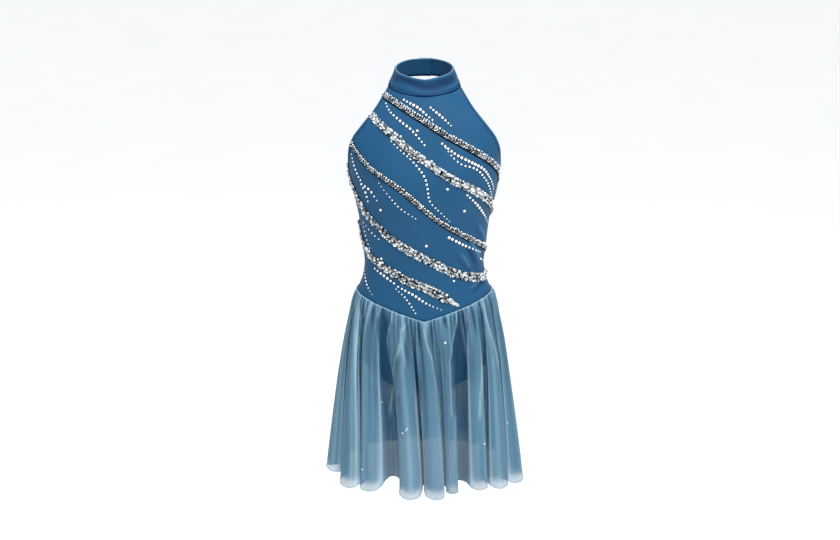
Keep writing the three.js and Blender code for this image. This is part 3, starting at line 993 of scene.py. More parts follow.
@dataclass
class FrontBodice(ClothPanel):
    """Halter front: one panel from the collar to the pointed waist seam, shaped for the bust."""

    length: float = 446.0
    bust_fullness: float = 7.0
    bust_spread: float = 0.42
    bust_width: float = 0.26
    collar: Collar | None = None
    turn_width: float = 7.0
    turn_height: float = 0.35
    stitch_pull: float = 0.35
    pull_pitch: float = 9.0
    neck_puckers: int = 17
    neck_pucker_height: float = 0.25
    underarm: float = 172 / 446
    lines: SmoothTable = FRONT_LINES

    def surface(self, across: Array, down: Array) -> Array:
        """The front, round the oval of the figure at each height, with its two cups.

        Args:
            across: Places across.
            down: Places down.

        Returns:
            The points.
        """
        line = self.lines.row_at(down * self.length)
        wrap = np.radians(line["wrap"])
        angle = wrap * across
        edge = oval_radius(wrap, BODICE_ROUNDNESS)
        radius = oval_radius(angle, BODICE_ROUNDNESS)
        sideways = radius * np.sin(angle) / (edge * np.sin(wrap))
        edge_forward = edge * np.cos(wrap)
        forward = (radius * np.cos(angle) - edge_forward) / (1 - edge_forward)
        fullness = np.exp(-((np.abs(sideways) - self.bust_spread) / self.bust_width) ** 2)
        y = mix(line["side_y"], line["mid_y"], forward) - self.bust_fullness * line["bust"] * fullness
        bend = mix(sideways ** 2, np.abs(sideways), line["pointed"])
        z = mix(line["mid_z"], line["side_z"], bend)
        return np.stack([line["side_x"] * sideways, y, z], -1)

    def edge_pace(self, down: Array) -> Array:
        """Millimetres of cloth for a step of 1 across, close to the side edges.

        Args:
            down: Places down.

        Returns:
            The lengths of cloth.
        """
        edge, step = np.ones(np.shape(down)), 0.03
        cloth = self.surface(edge, down) - self.surface((1 - step) * edge, down)
        return np.linalg.norm(cloth, axis=-1) / step

    def relief(self, points: Array, across: Array, down: Array) -> Array:
        """Creases, the armholes' turned edges with their puckers, and puckers below the collar seam.

        Args:
            points: The points, in millimetres.
            across: Places across.
            down: Places down.

        Returns:
            The lift, in millimetres.
        """
        edge, below_seam = (1 - np.abs(across)) * self.edge_pace(down), down * self.length
        armhole = smoothstep(-down, -self.underarm - 0.01, -self.underarm + 0.03)
        turned = self.turn_height * smoothstep(-edge, -self.turn_width - 1, -self.turn_width + 1) * armhole
        near_turn = np.exp(-((edge - self.turn_width - 0.5) / (self.turn_width / 2)) ** 2)
        pull = self.stitch_pull * np.sin(below_seam * FULL_TURN / self.pull_pitch) * near_turn * armhole
        puckers = self.neck_pucker_height * np.cos(across * self.neck_puckers * FULL_TURN)
        puckers = puckers * np.exp(-below_seam / 6)
        return super().relief(points, across, down) + turned + pull + puckers

    def trimmed(self, points: Array) -> Array:
        """The panel kept between the collar seam and the waist seam, and in front of the side seams.

        Args:
            points: The points, in millimetres.

        Returns:
            The points, kept clear.
        """
        x, y = points[..., 0], np.minimum(points[..., 1], -WAIST.gap / 2)
        z = np.minimum(points[..., 2], self.collar.seam_height(y) - WAIST.gap)
        return np.stack([x, y, np.maximum(z, WAIST.height(x, Side.FRONT))], -1)

    def beside_edge(self, hand: float, down: Array, inset: float) -> Array:
        """Places across that lie some millimetres inside the right (-1) or left (1) side edge."""
        return hand * (1 - inset / self.edge_pace(down))

    def down_at(self, across: Array, height: Array) -> Array:
        """Finds how far down the panel lies a given height.

        Args:
            across: The places across.
            height: The heights wanted, in millimetres.

        Returns:
            The places down.
        """
        low, high = np.zeros(across.shape), np.ones(across.shape)
        for _ in range(24):
            middle = (low + high) / 2
            above = self.surface(across, middle)[..., 2] > height
            low, high = np.where(above, middle, low), np.where(above, high, middle)
        return (low + high) / 2

    def drawn(self, stops: Sequence[tuple[float, float]], out: float = 0.0) -> Track:
        """A smooth line drawn on the panel through stops, each a share across and a height in millimetres.

        Args:
            stops: The stops, in order.
            out: How far the line stands off.

        Returns:
            The line, in metres.
        """
        across, height = smooth_path(stops, 160, weights=(130, 1)).T
        across = np.clip(across, -1, 1)
        return self.line(across, self.down_at(across, height), out)


# The back's side edges and middle, by the share down. Millimetres.
BACK_LINES = SmoothTable("down side_x side_z mid_y mid_z", [
    (0, 149.7, -176, 92, -196),
    (0.13, 144, -204, 91.5, -221),
    (0.25, 138.7, -229, 89, -243),
    (0.42, 131, -268, 84, -278),
    (0.6, 125.5, -316, 76, -320),
    (0.78, 121, -360, 72, -363),
    (0.9, 125, -388, 77, -394),
    (1, WAIST.half_width, WAIST.side, WAIST.back_depth, WAIST.back),
])


@dataclass
class BackBodice(ClothPanel):
    """Low back: one panel from under one arm across to the other. Across is an angle round the figure."""

    turn_share: float = 0.03
    turn_height: float = 0.35
    stitch_pull: float = 0.35
    pull_pace: float = 46.0
    lines: SmoothTable = BACK_LINES

    def surface(self, across: Array, down: Array) -> Array:
        """The back, round the oval of the figure at each height.

        Args:
            across: Places across.
            down: Places down.

        Returns:
            The points.
        """
        line = self.lines.row_at(down)
        radius = oval_radius(across, BODICE_ROUNDNESS)
        sideways = radius * np.sin(across)
        y = -line["mid_y"] * radius * np.cos(across)
        return np.stack([line["side_x"] * sideways, y, mix(line["mid_z"], line["side_z"], sideways ** 2)], -1)

    def relief(self, points: Array, across: Array, down: Array) -> Array:
        """Creases across the small of the back, and the turned top edge with its puckers.

        Args:
            points: The points, in millimetres.
            across: Places across.
            down: Places down.

        Returns:
            The lift, in millimetres.
        """
        turned = self.turn_height * smoothstep(-down, -self.turn_share - 0.004, -self.turn_share + 0.004)
        near_turn = np.exp(-((down - self.turn_share - 0.002) / 0.014) ** 2)
        pull = self.stitch_pull * np.sin(across * self.pull_pace) * near_turn
        return super().relief(points, across, down) + turned + pull

    def trimmed(self, points: Array) -> Array:
        """The panel kept above the waist seam and behind the side seams."""
        x, y = points[..., 0], np.maximum(points[..., 1], WAIST.gap / 2)
        return np.stack([x, y, np.maximum(points[..., 2], WAIST.height(x, Side.BACK))], -1)


@dataclass
class Brief(ClothPanel):
    """Half of the leotard's brief, from the waist seam to the leg edges and the crotch."""

    half: Side = Side.FRONT
    depths: tuple[float, float, float] = (WAIST.front_depth, 101, 100)
    hip_heights: tuple[float, float] = (-540, -455)
    hip_half_width: float = 139.0
    low_half_width: float = 149.0
    crotch_share: float = 0.14
    low: SmoothTable | None = None
    edge: SmoothTable | None = None

    @property
    def forward(self) -> int:
        """The way that this half faces along Y."""
        return -1 if self.half is Side.FRONT else 1

    def ring(self, angle: Array, width: float, depth: float, height: Array) -> Array:
        """A guide line round this half: an oval at given heights.

        Args:
            angle: Directions round the figure, in radians.
            width: Its half width.
            depth: Its depth.
            height: Its heights.

        Returns:
            The points.
        """
        radius = oval_radius(angle, BODICE_ROUNDNESS)
        y = self.forward * depth * radius * np.cos(angle)
        return np.stack([width * radius * np.sin(angle), y, height], -1)

    def surface(self, across: Array, down: Array) -> Array:
        """The half brief, hanging from the waist seam on three guide lines to its edge.

        Args:
            across: Places across.
            down: Places down.

        Returns:
            The points.
        """
        across = -self.forward * across
        share = np.minimum(np.abs(across), 1)
        angle = across * math.pi / 2
        seam_x = WAIST.half_width * oval_radius(angle, BODICE_ROUNDNESS) * np.sin(angle)
        seam_z = WAIST.height(seam_x, self.half) - WAIST.gap
        seam = self.ring(angle, WAIST.half_width, self.depths[0], seam_z)
        hip = self.ring(angle, self.hip_half_width, self.depths[1], mix(*self.hip_heights, share))
        low = self.ring(angle, self.low_half_width, self.depths[2], self.low.at("z", share))
        leg = self.edge.row_at(np.maximum(share, self.crotch_share))
        hand = np.where(across < 0, -1, 1)
        edge_x = leg["x"] * np.minimum(share / self.crotch_share, 1) * hand
        edge = np.stack([edge_x, self.forward * leg["y"], leg["z"]], -1)
        t = down[..., None]
        return (1 - t) ** 3 * seam + 3 * t * (1 - t) ** 2 * hip + 3 * t ** 2 * (1 - t) * low + t ** 3 * edge

    def trimmed(self, points: Array) -> Array:
        """The half kept below the waist seam and on its own side of the side seams."""
        return WAIST.kept_below(points, self.half, WAIST.gap)


@dataclass(frozen=True)
class Fold:
    """A ridge of the skirt and the valley after it: their places at the seam and hem, in degrees.

    Each lies some way out between the inner and outer rings, and its hem hangs below the mean height. The
    ridges roll over the valley and close it.
    """

    ridge_top: float
    ridge_hem: float
    out: float
    hang: float
    valley_top: float
    valley_hem: float
    valley_out: float
    valley_hang: float
    closed: float = 1.15


FRONT_FOLDS = (
    Fold(-80, -73, 1, -8, -73, -61.5, 0.22, -8),
    Fold(-66, -50, 0.98, 9, -57, -42, 0.2, -4),
    Fold(-46, -33.5, 1, 3, -33.5, -21.5, 0, -12, 0.1),
    Fold(-21, -8.5, 1, 11, -9.4, -0.5, 0.16, 0),
    Fold(-0.5, 7.5, 1, 11, 8, 13, 0.34, -2),
    Fold(18, 17, 0.74, 7, 29.8, 25, 0, -2, 0.1),
    Fold(39.5, 33.5, 0.98, 2, 50, 42.5, 0.12, -5),
    Fold(58, 51, 1, 11, 66, 61, 0.2, 0),
    Fold(77, 72.5, 1, 20, 90, 90, 0.14, 0),
)


@dataclass(frozen=True)
class Lap:
    """An edge where one loop of mesh laps over another: its upper and lower end as places across and down.

    The cloth beside it is darkened by its shade, a painted shade, up to the width across. A shade below zero
    covers a gap and takes painted shade away.
    """

    upper_across: float
    upper_down: float
    lower_across: float
    lower_down: float
    shade: float = 0.3
    shade_width: float = 0.7


FRONT_LAPS = (
    Lap(7.45, 0.0, 7.05, 0.1), Lap(7.05, 0.08, 7.14, 0.26), Lap(7.04, 0.14, 6.3, 0.4),
    Lap(6.3, 0.36, 5.95, 0.62), Lap(6.5, 0.0, 6.04, 0.2, -0.8, 1.2), Lap(6.04, 0.17, 6.39, 0.42, -0.8, 1.2),
    Lap(11.8, 0.0, 11.03, 0.26, 0.95, 1.6), Lap(11.03, 0.23, 11.05, 0.56, 0.95, 1.6),
    Lap(12.05, 0.0, 12.45, 0.4), Lap(9.0, 0.03, 9.45, 0.4), Lap(4.95, 0.0, 4.75, 0.3),
    Lap(3.1, 0.02, 3.3, 0.45), Lap(14.75, 0.0, 15.1, 0.35), Lap(13.3, 0.1, 13.05, 0.6),
)


def back_folds(count: int = 10) -> tuple[Fold, ...]:
    """The folds behind: even ones, each a little different from the next.

    Args:
        count: How many there are.

    Returns:
        The folds, from the left side seam to the right one.
    """
    width = 180 / count
    folds = []
    for i in range(count):
        start = 90 + i * width
        sway = math.sin(2.4 * i + 0.6)
        last = i == count - 1
        valley_sway = 0 if last else math.sin(1.7 * i)
        folds.append(Fold(
            start + width / 2, start + width * (0.5 + 0.12 * sway), 0.93 + 0.07 * sway, 11 + 2 * sway,
            start + width, start + width * (1 + 0.1 * valley_sway), 0.14 + 0.1 * valley_sway,
            0 if last else -3 * sway))
    return tuple(folds)


# The skirt's outer ring of ridges and inner ring of valleys, by the share down. Millimetres.
SKIRT_RINGS = SmoothTable(
    "down ridge_x ridge_front ridge_back valley_x valley_front valley_back gather roundness", [
        (0, 136.8, 96.8, 89.8, 136.5, 96.5, 89.5, 0.6, BODICE_ROUNDNESS),
        (0.035, 143.5, 104, 99, 140, 99.5, 95.5, 1.4, BODICE_ROUNDNESS),
        (0.1, 151, 114, 113, 145, 102.5, 105, 1.8, BODICE_ROUNDNESS),
        (0.2, 161, 127, 129, 150, 105, 113, 1.8, BODICE_ROUNDNESS),
        (0.33, 171, 138, 141, 154.5, 106, 116, 1.2, BODICE_ROUNDNESS),
        (0.5, 182.5, 149, 152, 157.5, 106, 117, 0.4, 2.15),
        (0.75, 197.5, 161, 164, 161, 107, 118, 0, 2.06),
        (1, 210.5, 171, 174, 165, 109, 120, 0, 2),
    ])


@dataclass
class Skirt(ClothPanel):
    """Half of the gathered mesh skirt. Across counts valleys and ridges: even numbers are valleys."""

    slot: str = MESH_SLOT
    held: str = "gathered"
    thickness: float = 0.5
    wall_offset: float = 0.0
    top_density: float = 1.25
    half: Side = Side.FRONT
    folds: tuple[Fold, ...] = FRONT_FOLDS
    laps: tuple[Lap, ...] = FRONT_LAPS
    hem_height: float = -800.0
    gathers: int = 38
    flank_steepness: float = 0.85
    roundness_at_seam: float = 0.5
    swing_pace: float = 1.6
    # Heights of the gathers, of the larger and smaller flutes and of the sway of the folds, in millimetres.
    gather_height: float = 1.3
    flute_height: float = 2.2
    small_flute_height: float = 1.1
    sway_height: float = 1.2
    # How much of the light the mesh stops in a valley, on a ridge, where several loops of cloth lie close
    # behind each other, and on the steep flanks between them. Each has its own share high or low down.
    high_valley_cover: float = 0.56
    low_valley_cover: float = 0.92
    high_ridge_cover: float = 0.8
    low_ridge_cover: float = 0.94
    flank_cover: float = 0.97
    # The front of a ridge at the hem is one loose layer.
    tip_cover: float = 0.58
    # The pale line of a fold, a painted highlight, lies where the cloth turns nearly side on: how far it
    # still faces out, and the line's width in the same measure.
    edge_facing: float = 0.15
    edge_width: float = 0.2
    # How strong the painted highlight looks on a fold's edge, a lap's edge, a gather, the heading and the
    # small flutes.
    edge_paleness: float = 0.95
    lap_paleness: float = 0.55
    gather_paleness: float = 0.45
    heading_paleness: float = 0.25
    flute_paleness: float = 0.2
    # How much of the painted shade of a valley is left near the hem, where more light comes in.
    low_painted_valley_shade: float = 0.6
    rings: SmoothTable = SKIRT_RINGS

    def __post_init__(self) -> None:
        """Lays the valleys and ridges in a row: places at the seam and hem, reach and hang."""
        start = -90.0 if self.half is Side.FRONT else 90.0
        rows = [(start, start, 0.14, 0, 1)]
        for fold in self.folds:
            rows.append((fold.ridge_top, fold.ridge_hem, fold.out, fold.hang, 0))
            rows.append((fold.valley_top, fold.valley_hem, fold.valley_out, fold.valley_hang, fold.closed))
        self.turns = np.array(rows, float).T
        self.across_range = (0.0, len(rows) - 1.0)

    def between(self, row: int, across: Array) -> Array:
        """A row of the turns, read smoothly between each valley and the next ridge."""
        i = np.clip(np.floor(across).astype(int), 0, self.turns.shape[1] - 2)
        return mix(self.turns[row][i], self.turns[row][i + 1], (1 - np.cos(np.pi * (across - i))) / 2)

    def fine_gathers(self, across: Array) -> Array:
        """The small uneven gathers under the seam, from -1 in their troughs to 1 on their crests.

        Args:
            across: Places across.

        Returns:
            Their heights.
        """
        angles = self.turns[0]
        turn = (np.interp(across, np.arange(len(angles)), angles) - angles[0]) / 180
        wobble = 1.1 * np.sin(1.7 * across + 0.4) + 0.8 * np.sin(4.3 * across + 1.9)
        strength = 0.75 + 0.25 * np.sin(2.3 * across + 1.1) * np.sin(5.9 * across)
        return strength * np.cos(FULL_TURN * self.gathers * turn + wobble)

    def small_flutes(self, across: Array) -> Array:
        """The small flutes that run all the way down the folds, from -1 in a trough to 1 on a crest."""
        first = np.sin(FULL_TURN * 1.7 * across + 1.5 * np.sin(1.9 * across))
        return (first + 0.6 * np.sin(FULL_TURN * 3.3 * across + 2.1 * np.sin(1.3 * across))) / 1.6

    def lap_edges(self, across: Array, down: Array) -> tuple[Array, Array]:
        """How near each place lies to a lap's edge, from 0 to 1, and how deep in the painted shade beside
        one.

        Args:
            across: Places across.
            down: Places down.

        Returns:
            The nearness and the painted shade.
        """
        edges, shades = np.zeros(across.shape), np.zeros(across.shape)
        line_width, fading = 0.05, 0.03
        for lap in self.laps:
            high, low = lap.upper_down, lap.lower_down
            off = across - mix(lap.upper_across, lap.lower_across, smoothstep(down, high, low))
            fade = smoothstep(down, high - fading, high + fading)
            fade = fade * smoothstep(-down, -low - fading, -low + fading)
            edges = np.maximum(edges, fade * np.exp(-(off / line_width) ** 2))
            shades = shades + fade * lap.shade * smoothstep(-off, -lap.shade_width, 0) * (off > 0)
        return edges, shades

    def surface(self, across: Array, down: Array) -> Array:
        """The skirt between its inner and outer rings, its folds swinging from the seam to the hem.

        Args:
            across: Places across.
            down: Places down.

        Returns:
            The points.
        """
        top, hem, _, _, closed = self.turns
        i = np.clip(np.floor(across).astype(int), 0, len(top) - 2)
        share = across - i
        widening = np.where(i % 2 == 0, -1, 1) * (closed[i] + closed[i + 1])
        swing = (share + self.flank_steepness * np.sin(FULL_TURN * share) / FULL_TURN
                 + widening * np.sin(np.pi * share) / np.pi)
        top_angle = mix(top[i], top[i + 1], mix(share, swing, self.roundness_at_seam))
        spread = 1 - np.maximum(0, 1 - down) ** self.swing_pace
        angle = np.radians(mix(top_angle, mix(hem[i], hem[i + 1], swing), spread))
        ring, out, depth_name = self.rings.row_at(down), self.between(2, across), self.half.value
        gather = ring["gather"] * np.cos(3 * np.pi * (across - 1))
        radius = oval_radius(angle, ring["roundness"])
        width = mix(ring["valley_x"], ring["ridge_x"], out) + gather
        depth = mix(ring[f"valley_{depth_name}"], ring[f"ridge_{depth_name}"], out) + gather
        seam_angle = np.radians(top_angle)
        seam_x = WAIST.half_width * oval_radius(seam_angle, BODICE_ROUNDNESS) * np.sin(seam_angle)
        hem_z = self.hem_height - self.between(3, across)
        z = mix(WAIST.height(seam_x, self.half) - 2 * WAIST.gap, hem_z, down)
        return np.stack([width * radius * np.sin(angle), -depth * radius * np.cos(angle), z], -1)

    def relief(self, points: Array, across: Array, down: Array) -> Array:
        """Small uneven gathers that fade out below the seam, and soft flutes between the main folds.

        Args:
            points: The points, in millimetres.
            across: Places across.
            down: Places down.

        Returns:
            The lift, in millimetres.
        """
        gathering = self.gather_height * (1 + smoothstep(down, 0.0, 0.04)) * smoothstep(-down, -0.2, -0.03)
        fading = 0.55 + 0.22 * np.sin(2.9 * across + 0.7)
        flutes = np.cos(FULL_TURN * 1.3 * across + 1.6 * np.sin(0.9 * across))
        fluting = self.flute_height * smoothstep(down, 0.0, 0.12) * np.exp(-(down / fading) ** 2)
        sway = self.sway_height * np.sin(2.1 * across + 3.0 * down) * smoothstep(down, 0.15, 0.6)
        small = self.small_flute_height * self.small_flutes(across) * smoothstep(down, 0.05, 0.25)
        return self.fine_gathers(across) * gathering + flutes * fluting + small + sway

    def trimmed(self, points: Array) -> Array:
        """The half kept below the waist seam and on its own side of the side seams."""
        return WAIST.kept_below(points, self.half, 2 * WAIST.gap)

    def attributes(self, points: Array, across: Array, down: Array) -> dict[str, Array]:
        """How much light the mesh stops, how deep in a fold it looks, with painted shade, and how pale on its
        edge, with a painted highlight.

        Args:
            points: The worn points, in metres.
            across: Places across.
            down: Places down.

        Returns:
            A value for each place, by name.
        """
        reach, fine = self.between(2, across), self.fine_gathers(across)
        outward = points * (1, 1.3, 0)
        facing = np.sum(grid_normals(points) * outward, axis=-1) / np.linalg.norm(outward, axis=-1)
        depth, low = smoothstep(down, 0.0, 0.1), smoothstep(down, 0.42, 0.72)
        pinch_length = 0.1 + 0.055 * np.sin(7.3 * across + 1)
        pinches = smoothstep(-fine, 0.35, 0.75) * smoothstep(-down / pinch_length, -1.2, -0.5)
        crests = smoothstep(fine, 0.45, 0.95) * smoothstep(-down / pinch_length, -2.2, -0.5)
        small = self.small_flutes(across) * smoothstep(down, 0.04, 0.2)
        lap_edge, lap_shade = self.lap_edges(across, down)

        # A valley is a gap with one layer of mesh at its bottom, in the half shade of its sides. The valley
        # value sets the cover there and darkens the colour as painted shade, also beside laps, in the
        # gathers' pinches and in the small flutes' troughs.
        gap = mix(0.08, 0.2, smoothstep(down, 0.0, 0.4))
        half_shade, bottom = smoothstep(-reach, -0.5, -0.3), smoothstep(gap - reach, -0.07, 0.05)
        valley = (0.45 * half_shade + 0.55 * bottom) * mix(0.6, 1.0, depth) + lap_shade
        valley = np.clip(valley + pinches + 0.3 * smoothstep(-small, 0.2, 0.7), 0, 1)
        valley = valley * mix(1.0, self.low_painted_valley_shade, low)
        edge = np.exp(-((facing - self.edge_facing) / self.edge_width) ** 2)
        edge = edge * smoothstep(reach, 0.3, 0.5) * mix(0.5, 1.0, depth)

        ridge_cover = mix(self.high_ridge_cover, self.low_ridge_cover, smoothstep(down, 0.2, 0.6))
        cover = mix(ridge_cover, mix(self.high_valley_cover, self.low_valley_cover, low), valley)
        cover = mix(cover, self.flank_cover, np.clip(edge + np.exp(-down / 0.03), 0, 1))
        cover = mix(cover, self.tip_cover, smoothstep(down, 0.93, 0.985) * smoothstep(reach, 0.55, 0.9))

        # The painted highlight: fold edges, lap edges, gather crests, small flute crests and the heading.
        paleness = self.edge_paleness * edge + self.lap_paleness * lap_edge + self.gather_paleness * crests
        paleness = paleness + self.flute_paleness * smoothstep(small, 0.4, 0.8)
        paleness = paleness + self.heading_paleness * np.exp(-down / 0.012)
        paleness = np.clip(paleness * (1 - 0.8 * pinches), 0, 1)
        # The cloth has two faces, so each stops its share of what one thickness stops.
        return {"cover": 1 - np.sqrt(1 - cover), "paleness": paleness, "valley": valley}


# Sewn and set trimmings

def small_stitch() -> SmallPart:
    """Models one stitch: a short round-ended length of thread, 1 long and 1 across, along X.

    Returns:
        The stitch.
    """
    clear_selection()
    bpy.ops.mesh.primitive_uv_sphere_add(segments=5, ring_count=4, radius=0.5)
    open_whole()
    bpy.ops.transform.rotate(value=math.pi / 2, orient_axis="Y", center_override=(0, 0, 0))
    bpy.ops.mesh.normals_make_consistent(inside=False)
    close_mesh()
    return SmallPart.from_model(bpy.context.object)


def cup_sequin(sides: int = 8, inset: float = 0.22, depth: float = 0.13, film: float = 0.05) -> SmallPart:
    """Models one cupped sequin of unit diameter: a disc of film, set in, pushed down and thickened.

    Args:
        sides: The sides of its rim.
        inset: How wide its sloping rim is.
        depth: How deep its middle is pushed in.
        film: The film's thickness.

    Returns:
        The sequin, its cup facing up.
    """
    clear_selection()
    bpy.ops.mesh.primitive_circle_add(vertices=sides, radius=0.5, fill_type="NGON")
    open_whole()
    bpy.ops.mesh.inset(thickness=inset)
    bpy.ops.transform.translate(value=(0, 0, -depth))
    close_mesh()
    model = bpy.context.object
    finish_with(model, "SOLIDIFY", thickness=film, offset=-1)
    return SmallPart.from_model(model)


def cut_stone(sides: int = 8, height: float = 0.4) -> SmallPart:
    """Models one flat-backed stone of unit diameter: a short girdle, a ring of facets and a table.

    Args:
        sides: The number of its main facets.
        height: Its height.

    Returns:
        The stone, its back at the origin.
    """
    clear_selection()
    bpy.ops.mesh.primitive_cylinder_add(vertices=sides, radius=0.5, depth=height, location=(0, 0, 0))
    open_whole()
    bpy.ops.transform.translate(value=(0, 0, height / 2))
    bpy.ops.mesh.select_all(action="DESELECT")
    close_mesh()
    open_top()
    # The girdle takes 0.28 of the height. Each step above it rises by a share and draws in by another.
    steps = ((0.44, 0.84), (0.28, 0.66))
    bpy.ops.transform.translate(value=(0, 0, -sum(rise for rise, _ in steps) * height))
    for rise, width in steps:
        bpy.ops.mesh.extrude_region_move(TRANSFORM_OT_translate={"value": (0, 0, rise * height)})
        bpy.ops.transform.resize(value=(width, width, 1), center_override=(0, 0, 0))
    close_mesh()
    return SmallPart.from_model(bpy.context.object)


def turned_axes(axes: Array, spin: Array, tilt: Array, heading: Array) -> Array:
    """Turns each copy's axes: spun about its own height, then tilted towards a heading.

    Args:
        axes: The axes of each copy, as columns.
        spin: The turn about the height, in radians.
        tilt: The tilt, in radians.
        heading: The direction of the tilt on the cloth, in radians from along to beside.

    Returns:
        The turned axes.
    """
    spin, tilt, heading = spin[:, None], tilt[:, None], heading[:, None]
    along, beside, out = (axes[:, :, i] for i in range(3))
    hinge = np.cross(out, np.cos(heading) * along + np.sin(heading) * beside)
    along, beside = along * np.cos(spin) + beside * np.sin(spin), beside * np.cos(spin) - along * np.sin(spin)
    turned = []
    for axis in (along, beside, out):
        swung = (axis * np.cos(tilt) + np.cross(hinge, axis) * np.sin(tilt)
                 + hinge * np.sum(hinge * axis, axis=1, keepdims=True) * (1 - np.cos(tilt)))
        turned.append(swung)
    return np.stack(turned, -1)


class Workroom:
    """What the trimmings are made with: the finishes, the small parts to repeat and the small differences."""

    def __init__(self) -> None:
        """Makes the finishes and the small parts."""
        self.finishes = Finishes()
        self.draw = np.random.default_rng(SEED)
        self.stitch = small_stitch()
        self.sequin = cup_sequin()
        self.stone = cut_stone()


@dataclass
class SequinBand:
    """A band of sequins and small stones on a narrow tape, slanting across the front. Millimetres."""

    name: str
    style: BandStyle
    widths: tuple[float, float]
    stops: tuple[tuple[float, float], ...]
    brightness: float
    # The share of its length over which it narrows to a point, and the share of its width that is left there.
    point: float = 0.0
    point_width: float = 0.35
    sequin: float = 6.2
    # Steps between rows of sequins, as shares of a sequin: heaps and herringbone.
    cluster_pitch: float = 0.76
    herringbone_pitch: float = 0.84
    # A folded sequin's width, as a share of its length, and how far it slants back from the band.
    folded_width: float = 0.33
    slant: float = 0.85
    tape_height: float = 0.5

    def build(self, bodice: FrontBodice, room: Workroom) -> None:
        """Models the band on the bodice: its sequins, the stones among them and the tape below.

        Args:
            bodice: The panel that carries it.
            room: The finishes, small parts and draws.
        """
        track = bodice.drawn(self.stops)
        lay = self.lay_clusters if self.style is BandStyle.CLUSTER else self.lay_herringbone
        places, axes, sizes = lay(track, room.draw)
        # Each sequin's random tone is a painted glint or a painted shade.
        tones = np.clip(self.brightness + room.draw.uniform(-0.45, 0.45, len(places)), 0, 1)
        sequins = room.sequin.repeated(f"{self.name}_sequins", places, axes, sizes, tones)
        sew_in(sequins, room.finishes.sequin)
        self.build_stones(track, room)
        self.build_tape(track, room.finishes.tape)
        log.info("%s: %.0f mm long, %d sequins", self.name, track.length / MM, len(places))

    def half_width(self, track: Track, along: Array) -> Array:
        """Half the band's width at each distance, in metres. It narrows to its point, if it has one.

        Args:
            track: The band's middle line.
            along: Distances from its start, in metres.

        Returns:
            The half widths.
        """
        share = along / track.length
        narrowing = mix(self.point_width, 1.0, smoothstep(1 - share, 0.0, self.point)) if self.point else 1.0
        return mix(*self.widths, share) * narrowing * MM / 2

    def lay_clusters(self, track: Track, draw: Random) -> Placement:
        """Heaps of overlapping sequins, tilted every way, piled higher in the middle of the band.

        Args:
            track: The band's middle line.
            draw: The source of small differences.

        Returns:
            Places, axes and sizes.
        """
        pitch = self.cluster_pitch * self.sequin * MM
        mean_width = sum(self.widths) * MM / 2
        rows = max(3, round(mean_width / (0.74 * self.sequin * MM)))
        count = int(track.length / pitch)
        along = np.repeat(np.linspace(0.5 * pitch, track.length - 0.5 * pitch, count), rows)
        lane = np.tile(np.linspace(-1, 1, rows), count)
        along = np.clip(along + draw.normal(0, 0.3 * pitch, len(along)), 0, track.length)
        lane = np.clip(lane + draw.normal(0, 0.2, len(lane)), -1.15, 1.15)
        sizes = self.sequin * MM * draw.uniform(0.75, 1.15, len(along))
        tilt = draw.uniform(0.2, 0.95, len(along))
        heading = draw.uniform(0, FULL_TURN, len(along))
        spin = draw.uniform(0, FULL_TURN, len(along))
        return self.placed(track, along, lane, sizes, spin, tilt, heading, draw)

    def lay_herringbone(self, track: Track, draw: Random) -> Placement:
        """Two rows of folded sequins that slant back from the middle like the leaves of a sprig.

        Args:
            track: The band's middle line.
            draw: The source of small differences.

        Returns:
            Places, axes and sizes.
        """
        pitch = self.herringbone_pitch * self.sequin * MM
        count = int(track.length / pitch)
        along = np.repeat(np.linspace(0.5 * pitch, track.length - 0.5 * pitch, count), 2)
        lane = np.tile([-0.5, 0.5], count)
        along = np.clip(along + draw.normal(0, 0.1 * pitch, len(along)), 0, track.length)
        lengths = self.sequin * MM * draw.uniform(1.0, 1.2, len(along))
        sizes = np.stack([lengths, self.folded_width * lengths, lengths], -1)
        spin = np.sign(lane) * (math.pi - self.slant) + draw.normal(0, 0.12, len(along))
        tilt = draw.uniform(0, 0.35, len(along))
        heading = draw.uniform(0, FULL_TURN, len(along))
        return self.placed(track, along, lane, sizes, spin, tilt, heading, draw)

    def placed(self, track: Track, along: Array, lane: Array, sizes: Array, spin: Array, tilt: Array,
               heading: Array, draw: Random) -> Placement:
        """Sets the sequins on the cloth.

        Args:
            track: The band's middle line.
            along: Distance of each sequin from its start.
            lane: Its place across the band, from -1 to 1.
            sizes: Its diameter, or its length, width and height.
            spin: Its turn on the cloth, in radians.
            tilt: Its tilt out of the cloth, in radians.
            heading: The direction that it tilts to.
            draw: The source of small differences.

        Returns:
            Places, axes and sizes.
        """
        points, axes = track.axes_at(along)
        inset = self.half_width(track, along) - 0.3 * self.sequin * MM
        crown = (1 - lane ** 2).clip(0) * MM
        across_size = sizes if sizes.ndim == 1 else sizes[:, 0]
        lift = self.tape_height * MM + 0.4 * across_size * np.sin(tilt) + crown
        lift = lift + draw.uniform(0, 0.9, len(along)) * MM
        points = points + axes[:, :, 1] * (lane * inset)[:, None] + axes[:, :, 2] * lift[:, None]
        return points, turned_axes(axes, spin, tilt, heading), sizes

